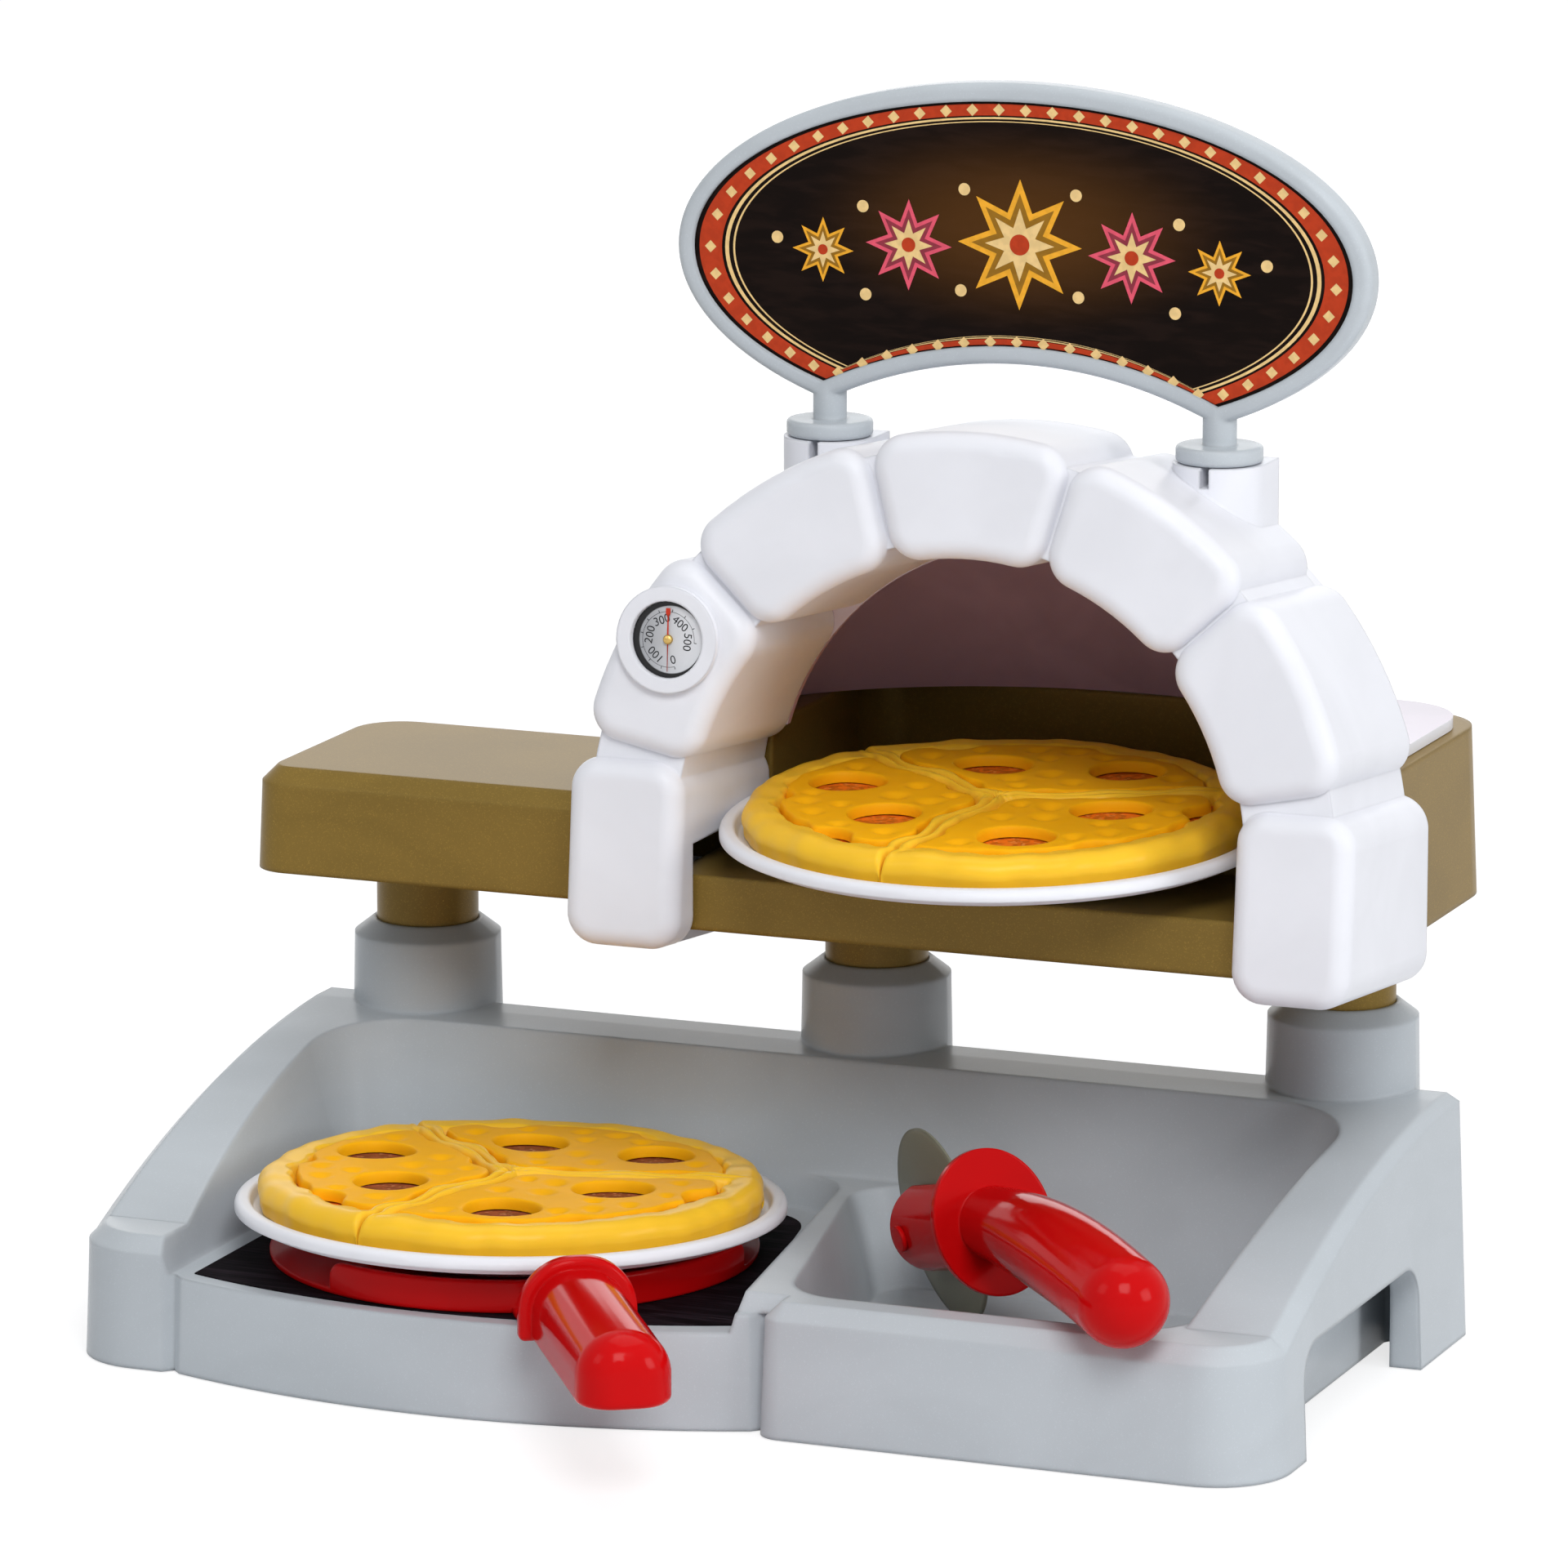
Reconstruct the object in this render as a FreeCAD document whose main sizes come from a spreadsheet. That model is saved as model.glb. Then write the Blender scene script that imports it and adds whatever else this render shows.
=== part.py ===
"""Toy pizza station: a moulded base with worktop and bin, three legs, a counter with a stone
oven, a lift-off sign, two plates of sliced pizza, a peel and a pizza cutter.

Millimetres, +Z up, front towards -Y. The origin is on the floor, under the middle of the whole
set. Most depths are measured from the row of legs.
"""
import FreeCAD, Part
import math
import os
import Sketcher

from collections import namedtuple

SIZES = (
    # whole set
    ("leg_row_y", 108.24, "origin to the row of legs"),
    ("wall", 2.6, "wall of every moulding"),
    ("rest_gap", 0.3, "air between loose pieces that rest on each other"),
    ("seat_gap", 0.2, "air between fixed pieces that face each other"),
    ("running_fit", 0.06, "radial play of a pin that slides or turns"),
    ("cut_overrun", 6.0, "how far a cut runs past the face it opens"),
    # base tray
    ("base_width", 391.0, "base, left to right on the floor"),
    ("base_front", 188.0, "leg row to the front of the bin"),
    ("base_back", 7.5, "leg row to the back of the rail"),
    ("base_draft", 2.3, "lean of the outer walls, degrees"),
    ("front_corner", 24.0, "radius of the front corners"),
    ("back_corner", 6.0, "radius of the back corners"),
    ("apron_margin", 37.5, "base's left side to the groove left of the apron"),
    ("apron_right", 31.0, "middle to the step right of the apron"),
    ("apron_bow", 17.0, "how far the apron bows forward"),
    ("apron_groove", 3.0, "depth of the grooves beside the apron"),
    ("bin_corner_round", 8.0, "rounded corner of the bin beside the apron"),
    ("rail_height", 77.5, "top of the back rail"),
    ("wing_foot", 165.0, "leg row to where the wings start to rise"),
    ("wing_head", 12.0, "leg row to where the wings reach the rail"),
    ("wing_bow", 7.2, "rise of the wing's curve over its chord"),
    ("base_chamfer", 5.0, "chamfer round the base's top"),
    ("worktop_height", 30.0, "worktop above the floor"),
    ("bin_rim_height", 41.0, "rim of the bin, divider and front corners"),
    ("bin_floor_height", 10.0, "floor of the bin"),
    ("bin_front_wall", 16.0, "bin's front wall, across its rim"),
    ("tub_draft", 15.0, "lean of the walls of worktop and bin, degrees"),
    ("wing_width", 32.9, "base's side to the tub's side wall, at the rim's height"),
    ("tub_back", 36.4, "leg row to the back wall, at the rim's height"),
    ("tub_corner", 20.0, "radius of the back corners, at the rim's height"),
    ("divider_front", 32.0, "middle to the divider's left edge, at the front"),
    ("divider_back", 5.7, "middle to the divider's left edge, at the back"),
    ("divider_width", 5.0, "divider, across its top"),
    ("notch_front", 150.0, "leg row to the front of the side notch"),
    ("notch_back", 42.0, "leg row to the back of the side notch"),
    ("notch_height", 34.0, "side notch above the floor"),
    ("notch_corner", 12.0, "radius of the side notch"),
    ("mat_margin", 7.0, "worktop showing round the mat"),
    ("mat_thickness", 0.4, "printed mat"),
    # legs and their sockets
    ("leg_margin", 40.5, "base's side to the outer legs"),
    ("leg_radius", 16.3, "leg tube, outside"),
    ("leg_wall", 3.0, "leg tube, wall"),
    ("leg_foot", 6.0, "closed foot of the leg"),
    ("leg_seat", 74.0, "seat of the leg in its socket, above the floor"),
    ("socket_radius", 23.5, "socket under its chamfer"),
    ("socket_foot_radius", 25.5, "socket on the floor"),
    ("socket_top", 104.0, "mouth of the socket, above the floor"),
    ("socket_chamfer", 4.5, "height of the chamfer round the mouth"),
    ("socket_lip", 1.2, "flat lip round the leg"),
    ("screw_radius", 1.6, "screw shank"),
    ("screw_head_radius", 3.4, "screw head"),
    ("screw_head_height", 2.2, "screw head, height"),
    ("screw_length", 10.0, "screw shank, length"),
    # counter
    ("deck_bottom", 131.0, "underside of the counter"),
    ("deck_draft", 2.5, "lean of the counter's outer walls, degrees"),
    ("deck_left", 185.8, "middle to the counter's left end, at its underside"),
    ("wing_top", 164.0, "top of the counter's side shelf"),
    ("shelf_front", 71.0, "leg row to the shelf's front"),
    ("shelf_back", 21.0, "leg row to the shelf's back"),
    ("shelf_front_corner", 13.0, "radius of the shelf's front corner"),
    ("shelf_back_corner", 22.0, "radius of the shelf's back corner"),
    ("deck_chamfer", 5.0, "chamfer round the counter's tops"),
    ("deck_wall", 3.0, "wall of the counter moulding"),
    ("oven_x", 67.0, "middle to the oven's centre line"),
    ("oven_floor", 148.2, "oven floor above the floor"),
    ("floor_step", 2.8, "step up to the floor behind the arch"),
    ("tongue_front", 96.0, "leg row to the front lip of the oven floor"),
    ("tongue_half_width", 97.0, "oven centre line to the lip's ends, inside the arch's feet"),
    ("tongue_play", 2.0, "air in front of the lip, inside the arch's feet"),
    ("tongue_room", 158.4, "top of the lip's room in the arch's feet"),
    ("tongue_corner", 3.0, "radius of the lip's corners"),
    ("podium_half_width", 117.6, "oven centre line to the podium's side, at its underside"),
    ("podium_top", 184.0, "top of the podium"),
    ("podium_back", 62.0, "leg row to the podium's back"),
    ("podium_corner", 25.0, "radius of the podium's back corners"),
    ("cavity_back", 50.0, "leg row to the back of the oven floor"),
    ("cavity_corner", 12.0, "radius of the oven floor's back corners"),
    ("spigot_radius", 13.1, "spigot under the counter, inside the leg"),
    ("spigot_length", 14.0, "spigot, length"),
    ("boss_width", 4.0, "ring round the spigot that the leg butts on"),
    # oven
    ("mouth_radius", 86.5, "inside of the stone arch"),
    ("foot_inside", 89.0, "oven centre line to the arch's feet"),
    ("foot_outside", 126.4, "oven centre line to the outside of the arch's feet"),
    ("stone_thickness", 38.5, "arch stones, from inside to outside"),
    ("arch_spring", 160.0, "centre of the arch, above the floor"),
    ("arch_front", 110.5, "leg row to the arch's face, at its centre height"),
    ("arch_rear", 36.0, "leg row to the arch's back"),
    ("arch_lean", 5.5, "how far the arch's face leans back, degrees"),
    ("arch_foot_bottom", 120.0, "underside of the arch's feet"),
    ("arch_foot_top", 178.0, "top of the stones at the feet"),
    ("stone_start", 184.5, "underside of the lowest stones, at their outside"),
    ("stone_round", 6.0, "rounded edges of the stones"),
    ("stone_corner", 10.0, "rounded corners of the stones, seen from the front"),
    ("stone_groove", 5.0, "depth of the grooves between stones"),
    ("stone_gap", 1.0, "width of the grooves between stones"),
    ("tower_radius", 14.2, "towers that hold the sign"),
    ("tower_top", 279.0, "top of the towers"),
    ("tower_depth", 34.0, "height of the towers inside the arch"),
    ("tower_slot", 3.0, "key slot in the tower"),
    ("dial_radius", 11.6, "printed dial"),
    ("dial_thickness", 0.4, "printed dial, thickness"),
    ("bezel_radius", 16.4, "raised ring round the dial"),
    ("bezel_height", 2.4, "raised ring, height"),
    ("dial_from_axis", 109.4, "arch centre to the dial"),
    ("dial_turn", 149.2, "dial round the arch's centre, degrees from the right"),
    ("flange_thickness", 3.5, "flange of the dome on the podium"),
    ("flange_margin", 6.5, "podium showing round the flange"),
    ("dome_depth", 92.0, "dome, from the arch's back to its own back"),
    ("dome_radius", 117.0, "outside of the dome where it meets the arch"),
    # sign
    ("sign_half_width", 112.0, "sign, middle to its end"),
    ("sign_half_height", 55.0, "sign, middle to its top"),
    ("post_length", 6.3, "sign post between its collar and the sign"),
    ("sign_thickness", 10.0, "sign, front to back"),
    ("sign_border", 5.5, "frame round the panel"),
    ("sign_recess", 2.0, "how deep the panel lies in its frame"),
    ("sign_edge", 2.4, "rounded edge of the frame"),
    ("sign_hollow", 144.0, "radius of the sign's hollow underside"),
    ("panel_thickness", 0.8, "printed panel"),
    ("panel_play", 0.15, "air round the printed panel"),
    ("sign_row", 50.0, "leg row to the sign"),
    ("post_half_spacing", 63.2, "sign, middle to each post"),
    ("post_radius", 5.2, "sign post"),
    ("collar_radius", 13.3, "round collar on the tower"),
    ("collar_thickness", 5.0, "round collar, thickness"),
    ("peg_radius", 4.6, "peg in the tower"),
    ("peg_length", 18.0, "peg, length"),
    # plates
    ("plate_radius", 85.0, "plate, over its rim"),
    ("plate_height", 15.0, "plate, foot to rim"),
    ("plate_wall", 2.2, "plate, wall"),
    ("plate_foot_radius", 45.0, "plate, foot ring"),
    ("plate_ledge_radius", 68.0, "inside of the ledge that carries the pizza"),
    ("plate_ledge_height", 11.5, "ledge above the foot"),
    ("plate_rim_width", 4.6, "rolled rim"),
    ("plate_margin", 5.5, "serving plate to the tub's side wall, at the rim's height"),
    ("lower_plate_front", 124.0, "leg row to the serving plate's centre"),
    ("lower_plate_lean", 1.6, "lean of the serving plate, front up, degrees"),
    ("upper_plate_x", 63.4, "oven plate, to the right of the middle"),
    ("upper_plate_front", 61.0, "leg row to the oven plate's centre"),
    # pizza slices
    ("pizza_radius", 78.5, "pizza"),
    ("slice_gap", 0.4, "air on each side of a cut, from its line"),
    ("crust_height", 11.6, "crust, bottom to top"),
    ("crust_width", 13.0, "rolled edge of the crust"),
    ("crust_round", 5.0, "rounding of the crust's edge"),
    ("ridge_width", 3.2, "ridge along each cut"),
    ("recess_depth", 5.0, "hollow that holds the topping and cheese"),
    ("card_thickness", 0.8, "topping insert"),
    ("cheese_thickness", 4.0, "cheese cover"),
    ("cheese_play", 0.4, "air round the cheese cover"),
    ("cheese_round", 1.4, "rounding of the cheese cover"),
    ("hole_radius", 11.4, "round holes over the toppings"),
    ("outer_hole_along", 44.3, "outer hole, along the slice's middle"),
    ("outer_hole_aside", 23.2, "outer hole, beside the slice's middle"),
    ("inner_hole_along", 35.1, "inner hole, along the slice's middle"),
    ("inner_hole_aside", 18.6, "inner hole, beside the slice's middle"),
    ("lower_cut_turn", 17.0, "first cut of the served pizza, degrees from the right"),
    ("upper_cut_turn", 24.0, "first cut of the oven pizza, degrees from the right"),
    # peel
    ("peel_x", -73.0, "peel head, to the right of the middle"),
    ("peel_front", 119.0, "leg row to the peel head's centre"),
    ("peel_turn", 33.8, "peel handle, degrees to the right of straight ahead"),
    ("peel_radius", 75.5, "peel head"),
    ("peel_thickness", 1.6, "peel blade"),
    ("peel_rim_height", 8.2, "raised edge on the handle's side"),
    ("peel_rim_width", 3.0, "raised edge, width"),
    ("peel_rim_angle", 117.5, "raised edge round the head, degrees"),
    ("peel_rim_round", 1.2, "raised edge, rounded top"),
    ("peel_rim_end", 5.0, "raised edge, rounded ends"),
    ("grip_foot_round", 2.0, "rounded bottom edges of the handle"),
    ("guard_reach", 102.0, "peel head's centre to the guard"),
    ("guard_width", 36.0, "peel guard, across"),
    ("guard_height", 25.0, "peel guard, upwards"),
    ("guard_thickness", 6.0, "peel guard, along the handle"),
    ("guard_round", 2.0, "peel guard, rounded edges"),
    ("grip_width", 28.5, "peel handle, across"),
    ("grip_height", 21.5, "peel handle, upwards"),
    ("section_round_share", 0.46, "round top of guard and handle, as a share of their width"),
    ("grip_length", 85.5, "peel handle, guard to tip"),
    ("grip_round", 11.0, "domed tip of the handle"),
    # cutter
    ("cutter_x", 52.7, "cutter wheel, to the right of the middle"),
    ("cutter_front", 78.7, "leg row to the cutter wheel"),
    ("cutter_turn", 41.4, "cutter handle, degrees to the right of straight ahead"),
    ("cutter_pitch", 15.0, "rise of the cutter's stem, degrees"),
    ("cutter_roll", 12.0, "lean of the cutter's wheel to the left, degrees"),
    ("wheel_radius", 31.0, "cutter wheel"),
    ("wheel_thickness", 3.2, "cutter wheel at its middle"),
    ("wheel_edge", 0.8, "cutter wheel at its edge"),
    ("wheel_slot", 1.0, "air on each side of the wheel in its holder"),
    ("axle_radius", 2.5, "axle of the wheel"),
    ("axle_head_radius", 4.2, "head of the axle"),
    ("axle_head_height", 1.4, "head of the axle, height"),
    ("holder_radius", 14.0, "wheel holder"),
    ("holder_nose", 9.0, "wheel holder past the axle"),
    ("guard_disc_reach", 43.0, "wheel axle to the oval guard"),
    ("guard_disc_radius", 22.75, "oval guard, half its height"),
    ("guard_disc_half_width", 19.0, "oval guard, half its width"),
    ("guard_disc_thickness", 3.0, "oval guard, thickness"),
    ("handle_radius", 14.0, "cutter handle, at its end"),
    ("handle_root_radius", 11.0, "cutter handle, at the guard"),
    ("handle_bend", 442.0, "radius of the cutter handle's bend"),
    ("handle_angle", 14.0, "arc of the cutter handle, degrees"),
    ("handle_droop", 6.5, "angle between the wheel's stem and the handle, degrees"),
)


class Size:
    """A length or angle that keeps both its number and the sheet expression it comes from."""

    def __init__(self, text, value):
        self.text = text
        self.value = value

    def __add__(self, other):
        other = as_size(other)
        return Size(f"({self.text} + {other.text})", self.value + other.value)

    def __radd__(self, other):
        return as_size(other) + self

    def __sub__(self, other):
        other = as_size(other)
        return Size(f"({self.text} - {other.text})", self.value - other.value)

    def __rsub__(self, other):
        return as_size(other) - self

    def __mul__(self, other):
        other = as_size(other)
        return Size(f"({self.text} * {other.text})", self.value * other.value)

    def __rmul__(self, other):
        return as_size(other) * self

    def __truediv__(self, other):
        other = as_size(other)
        return Size(f"({self.text} / {other.text})", self.value / other.value)

    def __neg__(self):
        return Size(f"(0 - {self.text})", -self.value)


def as_size(number):
    """A plain number becomes a Size whose expression is the number itself."""
    if isinstance(number, Size):
        return number
    return Size(f"({number!r})", float(number))


def sine(angle):
    angle = as_size(angle)
    return Size(f"sin({angle.text})", math.sin(math.radians(angle.value)))


def cosine(angle):
    angle = as_size(angle)
    return Size(f"cos({angle.text})", math.cos(math.radians(angle.value)))


def root(square):
    return Size(f"sqrt({square.text})", math.sqrt(square.value))


def slope_of(rise, run):
    """Angle of a slope, in degrees."""
    share = rise / run
    return Size(f"(atan({share.text}) / 1deg)", math.degrees(math.atan(share.value)))


def bow_radius(chord, rise):
    """Radius of an arc that rises by rise over its chord."""
    return (chord * chord / 4 + rise * rise) / (2 * rise)


doc = FreeCAD.newDocument("pizza_station")
sheet = doc.addObject("Spreadsheet::Sheet", "Sizes")


class Named:
    """The sheet's sizes, by name."""


def fill_sheet():
    sizes = Named()
    for row, (name, number, meaning) in enumerate(SIZES, start=1):
        sheet.set(f"A{row}", name)
        sheet.set(f"B{row}", str(number))
        sheet.setAlias(f"B{row}", name)
        sheet.set(f"C{row}", meaning)
        setattr(sizes, name, Size(f"Sizes.{name}", number))
    doc.recompute()
    return sizes


s = fill_sheet()
parts = []

# one point of an outline: round is the radius of its corner, arc the radius of the edge to the
# next point, and hollow says that this edge bends the other way
Corner = namedtuple("Corner", "x y round arc hollow", defaults=(None, None, False))

SLICES = 3
SLICE_ANGLE = 360 / SLICES
ARCH_STONES = 5
GRIP_SHARES = (0, 0.55, 0.9, 1, 1)
EIGHTH_TURN = 45
QUARTER_TURN = 90
# edges nearer than this count as being in the same place
SAME_PLACE = 1e-6
NEAR_ARC = 1e-3
HALF_TURN = 180
FULL_TURN = 360
X_AXIS = FreeCAD.Vector(1, 0, 0)
Y_AXIS = FreeCAD.Vector(0, 1, 0)
Z_AXIS = FreeCAD.Vector(0, 0, 1)
NO_TURN = FreeCAD.Rotation()
UPRIGHT = FreeCAD.Rotation(X_AXIS, QUARTER_TURN)


def row(depth):
    """The y of something that stands depth in front of the row of legs."""
    return s.leg_row_y - depth


def bind(thing, **sizes):
    """Bind properties to sizes."""
    for name, size in sizes.items():
        thing.setExpression(name, as_size(size).text)


def place(thing, x=0, y=0, z=0, turn=NO_TURN):
    """Give a thing its place, bound to sizes, and its turn."""
    thing.Placement = FreeCAD.Placement(FreeCAD.Vector(), turn)
    for axis, size in zip("xyz", (x, y, z)):
        thing.setExpression(f"Placement.Base.{axis}", as_size(size).text)


def keep(thing, label):
    """List a finished sub-part under its own name."""
    thing.Label = label
    parts.append(thing)
    return thing


def new_body(name):
    return doc.addObject("PartDesign::Body", name)


def plane_of(body, role):
    return next(each for each in body.Origin.OriginFeatures if each.Role == role)


def corner_arc(before, here, after, radius):
    """Tangent points and centre of a rounded corner, and whether it turns left."""
    come = (here - before).normalize()
    go = (after - here).normalize()
    turn = math.atan2(come.x * go.y - come.y * go.x, come.dot(go))
    reach = radius * math.tan(abs(turn) / 2)
    left = turn > 0
    normal = FreeCAD.Vector(-come.y, come.x, 0) * (1 if left else -1)
    start = here - come * reach
    return start, here + go * reach, start + normal * radius, left


def arc_between(start, end, centre, left):
    """Arc from start to end about centre; a sketch arc always runs counter-clockwise."""
    if not left:
        start, end = end, start
    first = start - centre
    last = end - centre
    circle = Part.Circle(centre, Z_AXIS, first.Length)
    return Part.ArcOfCircle(circle, math.atan2(first.y, first.x), math.atan2(last.y, last.x))


def outline(body, name, role, corners, lift=0):
    """Closed sketch through corners, each held to the origin by sizes."""
    sketch = body.newObject("Sketcher::SketchObject", name)
    sketch.AttachmentSupport = [(plane_of(body, role), "")]
    sketch.MapMode = "FlatFace"
    sketch.setExpression("AttachmentOffset.Base.z", as_size(lift).text)
    corners = [Corner(*each) for each in corners]
    count = len(corners)
    points = [FreeCAD.Vector(as_size(c.x).value, as_size(c.y).value, 0) for c in corners]
    starts = list(points)
    ends = list(points)
    rounds = {}
    for i, corner in enumerate(corners):
        if corner.round is not None:
            radius = as_size(corner.round).value
            rounds[i] = corner_arc(points[i - 1], points[i], points[(i + 1) % count], radius)
            starts[i], ends[i] = rounds[i][:2]
    for i, corner in enumerate(corners):
        begin = ends[i]
        finish = starts[(i + 1) % count]
        if corner.arc is None:
            sketch.addGeometry(Part.LineSegment(begin, finish))
            continue
        chord = finish - begin
        height = math.sqrt(as_size(corner.arc).value ** 2 - (chord.Length / 2) ** 2)
        side = FreeCAD.Vector(-chord.y, chord.x, 0).normalize() * (-1 if corner.hollow else 1)
        centre = (begin + finish) * 0.5 + side * height
        sketch.addGeometry(arc_between(begin, finish, centre, not corner.hollow))

    def hold(kind, *where, size):
        index = sketch.addConstraint(Sketcher.Constraint(kind, *where, as_size(size).value))
        sketch.setExpression(f"Constraints[{index}]", as_size(size).text)

    def link(kind, *where):
        sketch.addConstraint(Sketcher.Constraint(kind, *where))

    def first_end(i):
        return 2 if corners[i].hollow else 1

    def last_end(i):
        return 1 if corners[i].hollow else 2

    for i, corner in enumerate(corners):
        before = (i - 1) % count
        if corner.arc is not None:
            hold("Radius", i, size=corner.arc)
        if i not in rounds:
            link("Coincident", before, last_end(before), i, first_end(i))
            hold("DistanceX", -1, 1, i, first_end(i), size=corner.x)
            hold("DistanceY", -1, 1, i, first_end(i), size=corner.y)
            continue
        start, end, centre, left = rounds[i]
        arc = sketch.addGeometry(arc_between(start, end, centre, left))
        tip = sketch.addGeometry(Part.Point(points[i]), True)
        link("Tangent", before, last_end(before), arc, 1 if left else 2)
        link("Tangent", arc, 2 if left else 1, i, first_end(i))
        hold("Radius", arc, size=corner.round)
        link("PointOnObject", tip, 1, before)
        link("PointOnObject", tip, 1, i)
        hold("DistanceX", -1, 1, tip, 1, size=corner.x)
        hold("DistanceY", -1, 1, tip, 1, size=corner.y)
    return sketch


def ring(body, name, x, y, radius, lift=0):
    """Circle in a flat sketch."""
    sketch = body.newObject("Sketcher::SketchObject", name)
    sketch.AttachmentSupport = [(plane_of(body, "XY_Plane"), "")]
    sketch.MapMode = "FlatFace"
    sketch.setExpression("AttachmentOffset.Base.z", as_size(lift).text)
    centre = FreeCAD.Vector(as_size(x).value, as_size(y).value, 0)
    sketch.addGeometry(Part.Circle(centre, Z_AXIS, as_size(radius).value))
    for kind, where, size in (
        ("Radius", (0,), radius),
        ("DistanceX", (-1, 1, 0, 3), x),
        ("DistanceY", (-1, 1, 0, 3), y),
    ):
        index = sketch.addConstraint(Sketcher.Constraint(kind, *where, as_size(size).value))
        sketch.setExpression(f"Constraints[{index}]", as_size(size).text)
    return sketch


def extrude(body, kind, sketch, length, taper=0, both_ways=False, upwards=True, along=None):
    """Pad or pocket of a sketch; it goes up, or along a given direction."""
    feature = body.newObject(f"PartDesign::{kind}", f"{sketch.Name}_{kind.lower()}")
    feature.Profile = sketch
    feature.SideType = "Symmetric" if both_ways else "One side"
    feature.Reversed = (kind == "Pocket") == upwards and not both_ways
    bind(feature, Length=length, TaperAngle=taper)
    if along is not None:
        feature.UseCustomVector = True
        feature.AlongSketchNormal = False
        feature.Direction = along
        feature.Reversed = False
    return feature


def pad(body, sketch, length, **options):
    return extrude(body, "Pad", sketch, length, **options)


def pocket(body, sketch, length, **options):
    before = volume_of(body)
    feature = extrude(body, "Pocket", sketch, length, **options)
    if volume_of(body) >= before:
        raise RuntimeError(f"{feature.Name} cuts nothing")
    return feature


def volume_of(body):
    doc.recompute()
    return body.Shape.Volume


def revolve(body, name, corners, x=0, y=0):
    """Turn a profile of radii and heights about an upright axis."""
    sketch = outline(body, name, "XZ_Plane", corners, lift=-as_size(y))
    sketch.setExpression("AttachmentOffset.Base.x", as_size(x).text)
    feature = body.newObject("PartDesign::Revolution", f"{name}_turned")
    feature.Profile = sketch
    feature.ReferenceAxis = (sketch, ["V_Axis"])
    feature.Angle = FULL_TURN
    return feature


def edge_names(shape, wanted):
    return [f"Edge{i}" for i, edge in enumerate(shape.Edges, start=1) if wanted(edge)]


def dress(body, kind, name, size, wanted):
    """Fillet or chamfer the wanted edges of a body."""
    doc.recompute()
    base = body.Tip
    names = edge_names(base.Shape, wanted)
    feature = body.newObject(f"PartDesign::{kind}", name)
    feature.Base = (base, names)
    bind(feature, **{"Radius" if kind == "Fillet" else "Size": size})
    return feature


def primitive(kind, name, x=0, y=0, z=0, turn=NO_TURN, angle=None, **sizes):
    """Part primitive with bound sizes and place."""
    thing = doc.addObject(f"Part::{kind}", name)
    bind(thing, **sizes)
    if angle is not None:
        thing.Angle = angle
    place(thing, x, y, z, turn)
    return thing


def block(name, x, y, z):
    """Box between two values of each axis."""
    return primitive(
        "Box", name, x[0], y[0], z[0],
        Length=as_size(x[1]) - x[0], Width=as_size(y[1]) - y[0], Height=as_size(z[1]) - z[0],
    )


def cut(base, tool, name):
    result = doc.addObject("Part::Cut", name)
    result.Base = base
    result.Tool = tool
    return result


def common(base, tool, name):
    result = doc.addObject("Part::Common", name)
    result.Base = base
    result.Tool = tool
    return result


def fuse(things, name):
    result = doc.addObject("Part::MultiFuse", name)
    result.Shapes = things
    result.Refine = True
    return result


def soften(base, radius, name, wanted=None):
    """Round the wanted edges of a solid, or all of them."""
    doc.recompute()
    result = doc.addObject("Part::Fillet", name)
    result.Base = base
    picked = [
        (i, radius.value, radius.value)
        for i, edge in enumerate(base.Shape.Edges, start=1)
        if wanted is None or wanted(edge)
    ]
    result.Edges = picked
    return result


def leg_places():
    spacing = s.base_width / 2 - s.leg_margin
    return (("left", -spacing), ("middle", as_size(0)), ("right", spacing))


# base tray: outer block, sloping wings, worktop, bin, hollow underside, side notches, sockets
def base_inset(height):
    """How far the outer walls stand inside their line on the floor, at another height."""
    return height * sine(s.base_draft) / cosine(s.base_draft)


def tub_inset(height):
    """How far the leaning walls stand inside their line at the rim, at another height."""
    return (s.bin_rim_height - height) * sine(s.tub_draft) / cosine(s.tub_draft)


def tub_half_width():
    """Middle to the tub's side walls, at the rim's height."""
    return s.base_width / 2 - s.wing_width


def divider_line(shift):
    """Corners of a line along the divider, shifted to the right: in front, then at the back."""
    return s.divider_front + shift, s.divider_back + shift


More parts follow.
